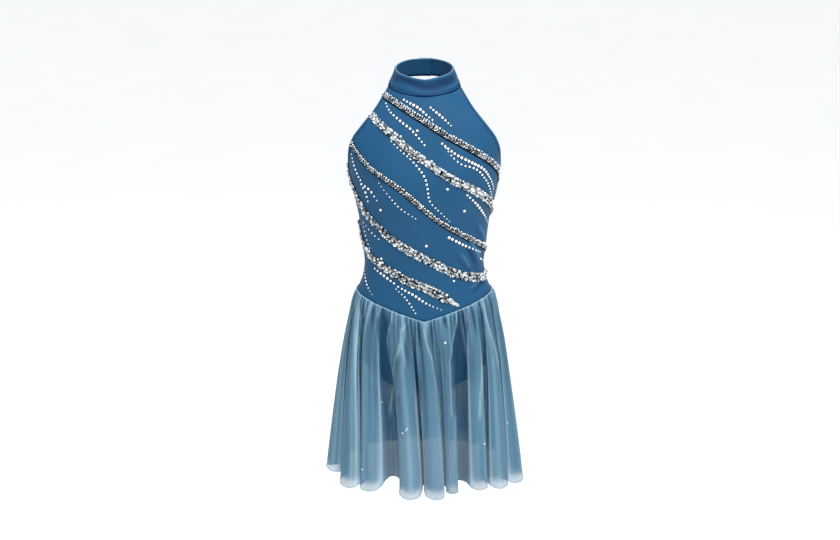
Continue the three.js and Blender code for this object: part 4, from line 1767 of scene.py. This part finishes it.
    def build_stones(self, track: Track, room: Workroom) -> None:
        """Sets the small stones that lie among the sequins, or in a row along a herringbone's edge.

        Args:
            track: The band's middle line.
            room: The finishes, small parts and draws.
        """
        draw, in_row = room.draw, self.style is BandStyle.HERRINGBONE
        step = (5.2 if in_row else 5.6) * MM
        count = int(track.length / step)
        along = np.linspace(step / 2, track.length - step / 2, count) + draw.normal(0, 0.8 * MM, count)
        lane = draw.choice((-0.85, 0.0, 0.85), count) + draw.normal(0, 0.15, count)
        sizes = draw.uniform(2.8, 4.6, count) * MM
        if in_row:
            lane, sizes = 0.85 + draw.normal(0, 0.1, count), 0.82 * sizes
        points, axes = track.axes_at(along)
        lift = (2.0 + 2.4 * (1 - lane ** 2).clip(0)) * MM
        points = points + axes[:, :, 1] * (lane * self.half_width(track, along))[:, None]
        points = points + axes[:, :, 2] * lift[:, None]
        axes = turned_axes(axes, draw.uniform(0, 1, count), draw.uniform(0, 0.45, count),
                           draw.uniform(0, 6.28, count))
        piece = room.stone.repeated(f"{self.name}_stones", points, axes, sizes, draw.uniform(0.4, 1, count))
        sew_in(piece, room.finishes.crystal)

    def build_tape(self, track: Track, material: Material) -> None:
        """Models the tape under the sequins: a flat strip that shows as a dark line below them, a painted
        shadow.

        Args:
            track: The band's middle line.
            material: Its material.
        """
        along = np.linspace(0, track.length, 120)
        points, axes = track.axes_at(along)
        half = self.half_width(track, along)[:, None]
        # The strip's corners: share of the half width beside the middle line, and height over the cloth. It
        # reaches further on the lower side, as a painted shadow.
        corners = ((-1.18, 0.05), (-1.18, self.tape_height), (0.9, self.tape_height), (0.9, 0.05))
        rings = np.stack([points + axes[:, :, 1] * half * share + axes[:, :, 2] * out * MM
                          for share, out in corners], 1)
        last = 4 * (len(rings) - 1)
        faces = [(first + k, first + (k + 1) % 4, first + 4 + (k + 1) % 4, first + 4 + k)
                 for first in range(0, last, 4) for k in range(4)]
        faces += [(3, 2, 1, 0), tuple(last + k for k in range(4))]
        piece = new_piece(f"{self.name}_tape", rings, faces)
        take(piece)
        open_whole()
        bpy.ops.mesh.normals_make_consistent(inside=False)
        close_mesh()
        sew_in(piece, material)


SEQUIN_BANDS = (
    SequinBand("neck_band", BandStyle.HERRINGBONE, (12.5, 13), (
        (-0.97, -14), (-0.62, -22), (-0.32, -37), (0.04, -61), (0.3, -86), (0.5, -107), (0.635, -127),
        (0.73, -146), (0.84, -170), (0.93, -200), (0.99, -232)), 0.45),
    SequinBand("bust_band", BandStyle.CLUSTER, (13, 15.5), (
        (-0.99, -47), (-0.62, -68), (-0.35, -90), (-0.15, -115), (0.03, -135), (0.24, -167), (0.37, -184),
        (0.57, -208), (0.84, -240), (0.99, -258)), 0.45),
    SequinBand("cup_band", BandStyle.HERRINGBONE, (11, 12), (
        (-0.99, -103), (-0.74, -126), (-0.52, -149), (-0.36, -165), (-0.23, -181), (-0.11, -205),
        (0.02, -232), (0.16, -256), (0.32, -277), (0.61, -308), (0.99, -335)), 0.42),
    SequinBand("waist_band", BandStyle.CLUSTER, (14, 16.5), (
        (-0.97, -155), (-0.9, -175), (-0.8, -199), (-0.64, -239), (-0.42, -277), (-0.27, -300), (-0.11, -320),
        (0.03, -334), (0.17, -349), (0.33, -365), (0.52, -376), (0.7, -382), (0.99, -384)), 0.4),
    SequinBand("hip_band", BandStyle.CLUSTER, (12, 18), (
        (-0.99, -272), (-0.87, -301), (-0.62, -338), (-0.46, -352), (-0.32, -364), (-0.16, -380),
        (0.01, -392), (0.14, -405), (0.24, -418), (0.325, -429)), 0.4, point=0.14),
)


@dataclass
class StoneTrail:
    """A row of crystals that swells and tapers along a smooth line. Millimetres."""

    stops: tuple[tuple[float, float], ...]
    count: int
    largest: float = 4.6
    tapers: tuple[float, float] = (1.0, 0.5)
    swell: float = 0.18
    # The crystals look this much larger than their own size, with the light that they spread.
    fullness: float = 1.15

    def sizes(self) -> Array:
        """The diameters along the row.

        Returns:
            One for each crystal, in metres.
        """
        t = np.linspace(0, 1, self.count)
        swell = 1 - self.swell * np.cos(FULL_TURN * t)
        return self.fullness * self.largest * MM * mix(*self.tapers, t ** 2) * swell


STONE_TRAILS = (
    StoneTrail(((-0.38, -19), (-0.11, -33), (0.125, -55)), 10, 5.0, (1, 0.85)),
    StoneTrail(((0.105, -32), (0.265, -48), (0.39, -66)), 8, 4.8, (1, 0.7)),
    StoneTrail(((-0.76, -28), (-0.61, -41), (-0.45, -52), (-0.32, -62), (-0.2, -72), (-0.08, -88), (0, -102)),
               15, 4.6, (0.85, 1)),
    StoneTrail(((0.215, -99), (0.37, -123), (0.47, -136), (0.56, -150), (0.625, -173), (0.745, -200)),
               22, 5.0, (1.05, 0.7)),
    StoneTrail(((0.25, -107), (0.295, -122), (0.36, -138), (0.475, -148), (0.565, -175), (0.755, -217)),
               20, 4.6, (0.8, 0.8)),
    StoneTrail(((-0.41, -95), (-0.28, -111), (-0.13, -131), (0, -162), (0.026, -184), (0.045, -209),
                (0.157, -236), (0.235, -253)), 25, 4.8, (0.8, 0.6)),
    StoneTrail(((0.375, -200), (0.495, -222), (0.63, -246), (0.785, -270)), 12, 5.2, (1, 0.6)),
    StoneTrail(((-0.88, -128), (-0.74, -151), (-0.665, -164), (-0.6, -177)), 8, 4.0, (0.8, 1.1)),
    StoneTrail(((-0.59, -184), (-0.505, -192), (-0.435, -213)), 6, 4.4, (1, 0.7)),
    StoneTrail(((-0.6, -185), (-0.565, -196), (-0.55, -218)), 5, 4.2, (1, 0.9)),
    StoneTrail(((-0.39, -176), (-0.3, -202), (-0.21, -226), (-0.08, -246)), 13, 4.2, (0.6, 0.7)),
    StoneTrail(((0.24, -287), (0.41, -307), (0.675, -329)), 11, 5.8, (1, 0.45), 0),
    StoneTrail(((-0.705, -267), (-0.6, -282), (-0.48, -296)), 6, 3.6, (0.7, 1)),
    StoneTrail(((-0.735, -270), (-0.705, -297), (-0.64, -320)), 7, 3.4, (0.8, 0.9)),
    StoneTrail(((-0.58, -361), (-0.44, -372), (-0.317, -385)), 7, 5.0, (0.9, 1)),
    StoneTrail(((-0.27, -391), (-0.115, -406), (0.026, -424), (0.16, -436)), 13, 4.8, (1, 0.5)),
    StoneTrail(((-0.29, -396), (-0.19, -413), (-0.083, -443)), 9, 4.0, (0.7, 0.9)),
    StoneTrail(((-0.85, -375), (-0.715, -395), (-0.565, -413)), 8, 3.6, (1, 0.6)),
)
# Single crystals on the bodice: share across, height and diameter.
SINGLE_STONES = (
    (-0.1, -75, 5.2), (0.19, -185, 5.6), (0.37, -233, 5.8), (-0.41, -232, 5.4), (0.02, -304, 5.8),
    (-0.47, -337, 5.2), (0.31, -380, 5.0), (0.705, -344, 5.0), (0.815, -351, 4.4),
)
# Crystals scattered on the skirt: place across its folds, share down and diameter.
SKIRT_STONES = (
    (10.88, 0.14, 4.8), (5.59, 0.535, 3.2), (8.53, 0.528, 3.0), (7.04, 0.602, 2.8), (7.01, 0.612, 2.6),
    (6.91, 0.632, 2.8), (16.66, 0.679, 3.0), (13.15, 0.749, 3.6), (4.85, 0.89, 3.0),
)


@dataclass
class CrystalWork:
    """All the crystals that are set by hand on the front of the bodice and of the skirt."""

    trails: tuple[StoneTrail, ...] = STONE_TRAILS
    singles: tuple[tuple[float, float, float], ...] = SINGLE_STONES
    scattered: tuple[tuple[float, float, float], ...] = SKIRT_STONES
    # The dark ring round a crystal, a painted shadow, as shares of the crystal's width.
    ring_width: float = 1.35
    ring_height: float = 0.25

    def set_singly(self, panel: ClothPanel, across: Array, down: Array) -> tuple[Array, Array]:
        """The points and axes of stones that are set one by one on a panel.

        Args:
            panel: The panel that carries them.
            across: Places across.
            down: Places down.

        Returns:
            The points and axes.
        """
        spots = panel.line(across, down, 0.1)
        beside = unit(np.cross(spots.normals, (1.0, 0.0, 0.0)))
        return spots.points, np.stack([np.cross(beside, spots.normals), beside, spots.normals], -1)

    def build(self, bodice: FrontBodice, skirt: Skirt, room: Workroom) -> None:
        """Sets the crystals.

        Args:
            bodice: The panel that carries the rows and single stones.
            skirt: The panel that carries the scattered ones.
            room: The finishes, small parts and draws.
        """
        draw, groups = room.draw, []
        for trail in self.trails:
            track = bodice.drawn(trail.stops, out=0.1)
            steps = np.linspace(0, track.length, trail.count) + draw.normal(0, 0.25 * MM, trail.count)
            groups.append((*track.axes_at(np.clip(steps, 0, track.length)), trail.sizes()))
        across, height, diameter = np.array(self.singles).T
        groups.append((*self.set_singly(bodice, across, bodice.down_at(across, height)), diameter * MM))
        across, down, diameter = np.array(self.scattered).T
        groups.append((*self.set_singly(skirt, across, down), diameter * MM))
        places, axes, sizes = (np.concatenate(values) for values in zip(*groups))
        count = len(places)
        axes = turned_axes(axes, draw.uniform(0, 0.8, count), draw.uniform(0, 0.08, count),
                           draw.uniform(0, 6.28, count))
        piece = room.stone.repeated("set_crystals", places, axes, sizes, draw.uniform(0.5, 1, count))
        sew_in(piece, room.finishes.crystal)
        log.info("%s: %d stones", piece.name, count)
        on_bodice = count - len(self.scattered)
        # Dark rings under the bodice's crystals: a painted shadow round each.
        wide, flat = self.ring_width * sizes, self.ring_height * sizes
        ring_sizes = np.stack([wide, wide, flat], -1)[:on_bodice]
        rings = room.stone.repeated(
            "crystal_shadow_rings", places[:on_bodice], axes[:on_bodice], ring_sizes, draw.random(on_bodice))
        sew_in(rings, room.finishes.stone_shadow)


@dataclass
class StitchRow:
    """A row of stitches along a line. Millimetres."""

    name: str
    sewing: Sewing
    # Real thread is about 0.3 mm thick, too fine to show, so the stitches are drawn coarser.
    length: float = 3.0
    gap: float = 2.4
    swing: float = 1.4
    thread: float = 1.2
    height: float = 0.15

    def build(self, tracks: Sequence[Track], room: Workroom) -> None:
        """Sews the row along one or more lines.

        Args:
            tracks: The lines.
            room: The finishes, small parts and draws.
        """
        step = (self.length + self.gap) * MM
        slant, reach = math.atan2(2 * self.swing, self.length), math.hypot(2 * self.swing, self.length)
        groups = []
        for track in tracks:
            count = int(track.length / step)
            points, axes = track.axes_at((np.arange(count) + 0.5) * step)
            lean = np.full(count, slant)
            if self.sewing is Sewing.ZIGZAG:
                lean[1::2] = -slant
            axes = turned_axes(axes, lean, np.zeros(count), np.zeros(count))
            sizes = np.tile([reach, self.thread, self.thread], (count, 1)) * MM
            groups.append((points + axes[:, :, 2] * self.height * MM, axes, sizes))
        places, axes, sizes = (np.concatenate(values) for values in zip(*groups))
        piece = room.stitch.repeated(self.name, places, axes, sizes, room.draw.random(len(places)))
        take(piece)
        bpy.ops.object.shade_smooth()
        sew_in(piece, room.finishes.thread)


@dataclass
class CollarButton:
    """A small domed pearl button with a rim, sewn on the collar's outer end. Millimetres."""

    node: str
    down: float
    radius: float = 4.6
    rim: float = 1.2
    sides: int = 40
    # Its rim, groove and dome from the outside in: how far each ring is set in and raised.
    steps: tuple[tuple[float, float], ...] = (
        (0.5, 0.25), (0.35, -0.35), (0.25, 0.35), (0.8, 0.5), (1.0, 0.35), (0.9, 0.15))

    def build(self, collar: Collar, material: Material) -> None:
        """Models the button: a disc, inset and raised ring by ring to a shallow dome inside a rim.

        Args:
            collar: The collar that carries it.
            material: Its resin.
        """
        clear_selection()
        bpy.ops.mesh.primitive_cylinder_add(
            vertices=self.sides, radius=self.radius * MM, depth=self.rim * MM, location=(0, 0, 0))
        piece = bpy.context.object
        piece.name = piece.data.name = f"{self.node}_pearl"
        open_top()
        for inset, rise in self.steps:
            bpy.ops.mesh.inset(thickness=inset * MM)
            bpy.ops.transform.translate(value=(0, 0, rise * MM))
        close_mesh()
        bpy.ops.object.shade_smooth_by_angle(angle=math.radians(50))
        track = collar.line(np.full(2, math.pi), np.array([self.down - 0.01, self.down + 0.01]))
        out = Vector(track.normals.mean(0)).normalized()
        turn = Vector((0, 0, 1)).rotation_difference(out).to_matrix().to_4x4()
        piece.data.transform(turn)
        low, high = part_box(self.node)
        points = read_points(piece.data)
        middle = Vector((points.min(0) + points.max(0)) / 2)
        piece.data.transform(turn.Translation((low + high) / 2 - middle))
        sew_in(piece, material)
        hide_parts(self.node)
        log.info("%s built", piece.name)


@dataclass
class Studio:
    """Plain pale floor, pale surroundings, soft lights and the camera. Metres."""

    floor_height: float = -1.45
    floor_size: float = 80.0
    # Each soft light: name, place, side of its square and power in watts.
    lamps: tuple[tuple[str, tuple[float, float, float], float, float], ...] = (
        ("key_light", (0.7, -2.3, 2.8), 1.3, 115), ("fill_light", (2.2, -2.8, 0.6), 2.0, 10),
        ("back_light", (0.9, 3.0, 1.6), 2.0, 20))
    lamp_target: tuple[float, float, float] = (0, 0, -0.4)
    surround_strength: float = 0.56
    overhead_strength: float = 1.6
    overhead_softness: float = math.radians(40)
    camera_place: tuple[float, float, float] = (-0.0086, -3.2, 0.522)
    camera_pitch: float = math.radians(15.73)
    focal_length: float = 70.0

    def build(self) -> None:
        """Builds the floor, surroundings, lights and camera."""
        self.build_floor()
        self.build_surroundings()
        sky = bpy.data.lights.new("overhead_light", "SUN")
        sky.energy = self.overhead_strength
        sky.angle = self.overhead_softness
        bpy.context.scene.collection.objects.link(bpy.data.objects.new(sky.name, sky))
        for name, place, size, power in self.lamps:
            self.build_lamp(name, place, size, power)
        self.build_camera()

    def build_floor(self) -> None:
        """Builds the floor of matt paper, a little uneven in tone."""
        clear_selection()
        bpy.ops.mesh.primitive_plane_add(size=self.floor_size, location=(0, 0, 0))
        floor = bpy.context.object
        floor.name = floor.data.name = "studio_floor"
        floor.data.transform(floor.matrix_world.Translation((0, 0, self.floor_height)))
        material, tree, shader = new_material(
            "matt_studio_paper", {"Roughness": 0.95, "Specular IOR Level": 0.1})
        place = add_node(tree, "ShaderNodeTexCoord").outputs["Object"]
        grain = add_node(tree, "ShaderNodeTexNoise", {"Vector": place, "Scale": 3.0}).outputs["Fac"]
        tone = blend(tree, grain, linear("#f3f4f5"), linear("#f7f8f8"))
        tree.links.new(tone, shader.inputs["Base Color"])
        dress_in(floor, material)

    def build_surroundings(self) -> None:
        """Builds the pale light that comes from all round."""
        world = bpy.data.worlds.new("pale_studio")
        bpy.context.scene.world = world
        world.use_nodes = True
        backdrop = world.node_tree.nodes["Background"]
        backdrop.inputs["Color"].default_value = linear("#f4f6f8")
        backdrop.inputs["Strength"].default_value = self.surround_strength

    def build_lamp(self, name: str, place: tuple[float, float, float], size: float, power: float) -> None:
        """Adds a soft square light that faces the dress.

        Args:
            name: Its name.
            place: Where it stands.
            size: Its side.
            power: Its power in watts.
        """
        lamp = bpy.data.lights.new(name, "AREA")
        lamp.size = size
        lamp.energy = power
        lamp_object = bpy.data.objects.new(name, lamp)
        lamp_object.location = place
        aim = Vector(self.lamp_target) - Vector(place)
        lamp_object.rotation_euler = aim.to_track_quat("-Z", "Y").to_euler()
        bpy.context.scene.collection.objects.link(lamp_object)

    def build_camera(self) -> None:
        """Sets up the camera in front of the dress."""
        camera = bpy.data.cameras.new("photo_camera")
        camera.lens = self.focal_length
        camera.sensor_width = 36.0
        camera.clip_end = 200.0
        camera_object = bpy.data.objects.new("photo_camera", camera)
        camera_object.location = self.camera_place
        camera_object.rotation_euler = (math.pi / 2 - self.camera_pitch, 0, 0)
        bpy.context.scene.collection.objects.link(camera_object)
        bpy.context.scene.camera = camera_object
        bpy.context.scene.view_settings.view_transform = "Standard"
        bpy.context.scene.cycles.transparent_max_bounces = 32


class DanceDress:
    """The whole dress: leotard, skirt, trimmings and fastening."""

    SIDES = (("right", -1.0), ("left", 1.0))

    def __init__(self) -> None:
        """Sets up the workroom and lays out the pieces to cut."""
        self.room = Workroom()
        end = math.pi + Collar.lap
        self.collar = Collar(
            "collar", 420, 26, (0.45, 0.036), 0.0141, "front_bodice_cloth", thickness=2.2,
            across_range=(-end, end))
        self.front_bodice = FrontBodice(
            "front_bodice", 170, 190, (0.43, 0.48), 0.149, "back_bodice_cloth", collar=self.collar, creases=(
                Crease((88, -298), (113, -358), 4.0, 2.2), Crease((78, -304), (105, -364), 4.5, -2.4),
                Crease((66, -316), (94, -368), 4.0, 1.6), Crease((57, -324), (84, -368), 4.5, -1.3),
                Crease((103, -262), (121, -308), 4.0, 1.8), Crease((96, -266), (113, -310), 4.0, -1.2),
                Crease((120, -374), (84, -404), 4.0, 1.4), Crease((123, -384), (90, -412), 4.0, -1.7),
                Crease((-124, -330), (-70, -300), 7.0, 0.7), Crease((-126, -372), (-84, -352), 6.0, 0.6),
                Crease((-140, -190), (-95, -150), 9.0, 0.6), Crease((140, -196), (100, -160), 9.0, 0.6),
            ))
        self.back_bodice = BackBodice(
            "back_bodice", 150, 90, (0.4, 0.245), 0.082, "front_bodice_cloth",
            across_range=(math.pi / 2, 1.5 * math.pi), creases=(
                Crease((-118, -330), (-40, -352), 9.0, 0.9), Crease((112, -318), (46, -344), 9.0, 0.8),
                Crease((-112, -368), (-58, -382), 8.0, -0.7), Crease((120, -372), (66, -388), 8.0, 0.7),
            ))
        self.front_brief = Brief(
            "front_brief", 110, 60, (0.4, 0.27), 0.0645, "back_brief_cloth",
            low=SmoothTable("share z", [
                (0, -650), (0.14, -640), (0.26, -616), (0.4, -587), (0.56, -560), (0.72, -537), (0.87, -520),
                (1, -510)]),
            edge=SmoothTable("share x y z", [
                (0.14, 27, 0, -640), (0.26, 32, 45, -628), (0.4, 58, 80, -604), (0.56, 88, 85, -583),
                (0.72, 115, 64, -567), (0.87, 140, 34, -557), (1, 151, 0, -553)]))
        self.back_brief = Brief(
            "back_brief", 110, 60, (0.4, 0.28), 0.0755, "front_brief_cloth",
            half=Side.BACK, depths=(WAIST.back_depth, 106, 130), hip_heights=(-490, -455),
            low=SmoothTable("share z", [
                (0, -635), (0.14, -631), (0.26, -618), (0.4, -598), (0.56, -574), (0.72, -547), (0.87, -524),
                (1, -510)]),
            edge=SmoothTable("share x y z", [
                (0.14, 27, 0, -640), (0.26, 35, 42, -636), (0.4, 62, 82, -624), (0.56, 96, 96, -602),
                (0.72, 121, 72, -578), (0.87, 142, 40, -560), (1, 151, 0, -553)]))
        self.front_skirt = Skirt("front_skirt", 540, 74, (1.18, 0.41), 0.312, "front_bodice_cloth")
        self.back_skirt = Skirt(
            "back_skirt", 540, 74, (1.18, 0.405), 0.323, "back_bodice_cloth", half=Side.BACK,
            folds=back_folds(), laps=())

    def turned_edge(self, name: str, track: Track, depth: float = 0.4, radius: float = 0.9) -> Piece:
        """Models a turned jersey edge along a line, some millimetres inside the cloth's outer face, painted
        paler than the jersey as a painted highlight.
        """
        roll = model_roll(name, track.sunk(depth), radius)
        return sew_in(roll, self.room.finishes.turned_jersey_highlight)

    def seam_shade_roll(self, name: str, track: Track, depth: float = 0.9, radius: float = 0.9) -> None:
        """Models the pressed seam allowance that closes the gap between two panels, just inside them, dark as
        painted shade.
        """
        sew_in(model_roll(name, track.sunk(depth), radius), self.room.finishes.seam_painted_shade)

    def build_collar(self) -> None:
        """Builds the collar with its top fold, its lower seam and the stitches above that seam."""
        collar = self.collar
        round_neck = mix(*collar.across_range, np.linspace(0, 1, 320))
        fold = self.turned_edge("collar_top_fold", collar.line(round_neck, 0.0), 1.1, 1.15)
        # The collar's lower seam: a dark roll of painted shade.
        self.seam_shade_roll("collar_seam_shade", collar.line(round_neck, 1.0), -0.1, 1.9)
        collar.fit(collar.model(), self.room.finishes.jersey, [fold])
        StitchRow("collar_stitches", Sewing.SLANTED, 2.0, 3.2, 0.8, 1.5).build(
            [collar.line(round_neck, 0.83, 0.5)], self.room)

    def build_front(self) -> None:
        """Builds the front with its turned and stitched armholes, and the side seams below them."""
        front, span = self.front_bodice, np.linspace(0, 1, 150)
        armhole = span * front.underarm
        edges = [self.turned_edge(f"{side}_armhole_edge", front.line(hand, armhole))
                 for side, hand in self.SIDES]
        front.fit(front.model(), self.room.finishes.jersey, edges)
        StitchRow("armhole_stitches", Sewing.SLANTED, 2.4, 3.0, 1.9, 1.6).build(
            [front.line(front.beside_edge(hand, armhole, 5.4), armhole, 0.5) for _, hand in self.SIDES],
            self.room)
        for side, hand in self.SIDES:
            # Each side seam: a dark roll of painted shade.
            self.seam_shade_roll(f"{side}_side_seam_shade", front.line(hand, mix(front.underarm, 1.0, span)))

    def build_back(self) -> None:
        """Builds the low back with its turned and stitched top edge."""
        back = self.back_bodice
        across = mix(*back.across_range, np.linspace(0, 1, 150))
        edge = self.turned_edge("back_top_edge", back.line(across, 0.0))
        back.fit(back.model(), self.room.finishes.jersey, [edge])
        StitchRow("back_edge_stitches", Sewing.SLANTED, 2.4, 3.0, 1.9, 1.6).build(
            [back.line(across, 0.025, 0.4)], self.room)

    def build_brief(self) -> None:
        """Builds both halves of the brief with their turned and stitched leg edges."""
        for brief in (self.front_brief, self.back_brief):
            legs = [(side, mix(hand, hand * brief.crotch_share, np.linspace(0, 1, 150)))
                    for side, hand in self.SIDES]
            edges = [self.turned_edge(f"{brief.node}_{side}_leg_edge", brief.line(across, 1.0))
                     for side, across in legs]
            brief.fit(brief.model(), self.room.finishes.jersey, edges)
            StitchRow(f"{brief.node}_stitches", Sewing.ZIGZAG).build(
                [brief.line(across, 0.965, 0.1) for _, across in legs], self.room)

    def build_skirt(self) -> None:
        """Builds both halves of the skirt with their rolled hems and the heading under the waist seam."""
        finishes = self.room.finishes
        for skirt in (self.front_skirt, self.back_skirt):
            points = skirt.shaped(*skirt.places())
            rolls = [sew_in(model_roll(f"{skirt.node}_{name}", row, radius), finishes.rolled_mesh)
                     for name, row, radius in (("hem", points[-1], 0.8), ("heading", points[1], 0.65))]
            skirt.fit(skirt.model(), finishes.mesh, rolls)

    def build_trimmings(self) -> None:
        """Builds the sequin bands and crystals."""
        for band in SEQUIN_BANDS:
            band.build(self.front_bodice, self.room)
        CrystalWork().build(self.front_bodice, self.front_skirt, self.room)

    def build_fastening(self) -> None:
        """Builds the two buttons that close the collar's lap, each in its worked buttonhole."""
        buttons = (CollarButton("collar_button_upper", 0.3), CollarButton("collar_button_lower", 0.7))
        turn = np.linspace(0, FULL_TURN, 60)
        rims = [self.collar.line(math.pi + 0.135 * np.cos(turn), button.down + 0.04 * np.sin(turn), 0.1)
                for button in buttons]
        StitchRow("buttonhole_stitches", Sewing.ZIGZAG, 0.5, 0.1, 0.55, 0.5).build(rims, self.room)
        for button in buttons:
            button.build(self.collar, self.room.finishes.pearl)

    def build(self) -> None:
        """Builds the dress, from the collar down and then the trimmings."""
        self.build_collar()
        self.build_front()
        self.build_back()
        self.build_brief()
        self.build_skirt()
        self.build_trimmings()
        self.build_fastening()


def main() -> None:
    """Builds the dress and the studio."""
    logging.basicConfig(level=logging.INFO, format="%(name)s: %(message)s", stream=sys.stdout)
    DanceDress().build()
    Studio().build()
    clear_selection()


if __name__ == "__main__":
    main()
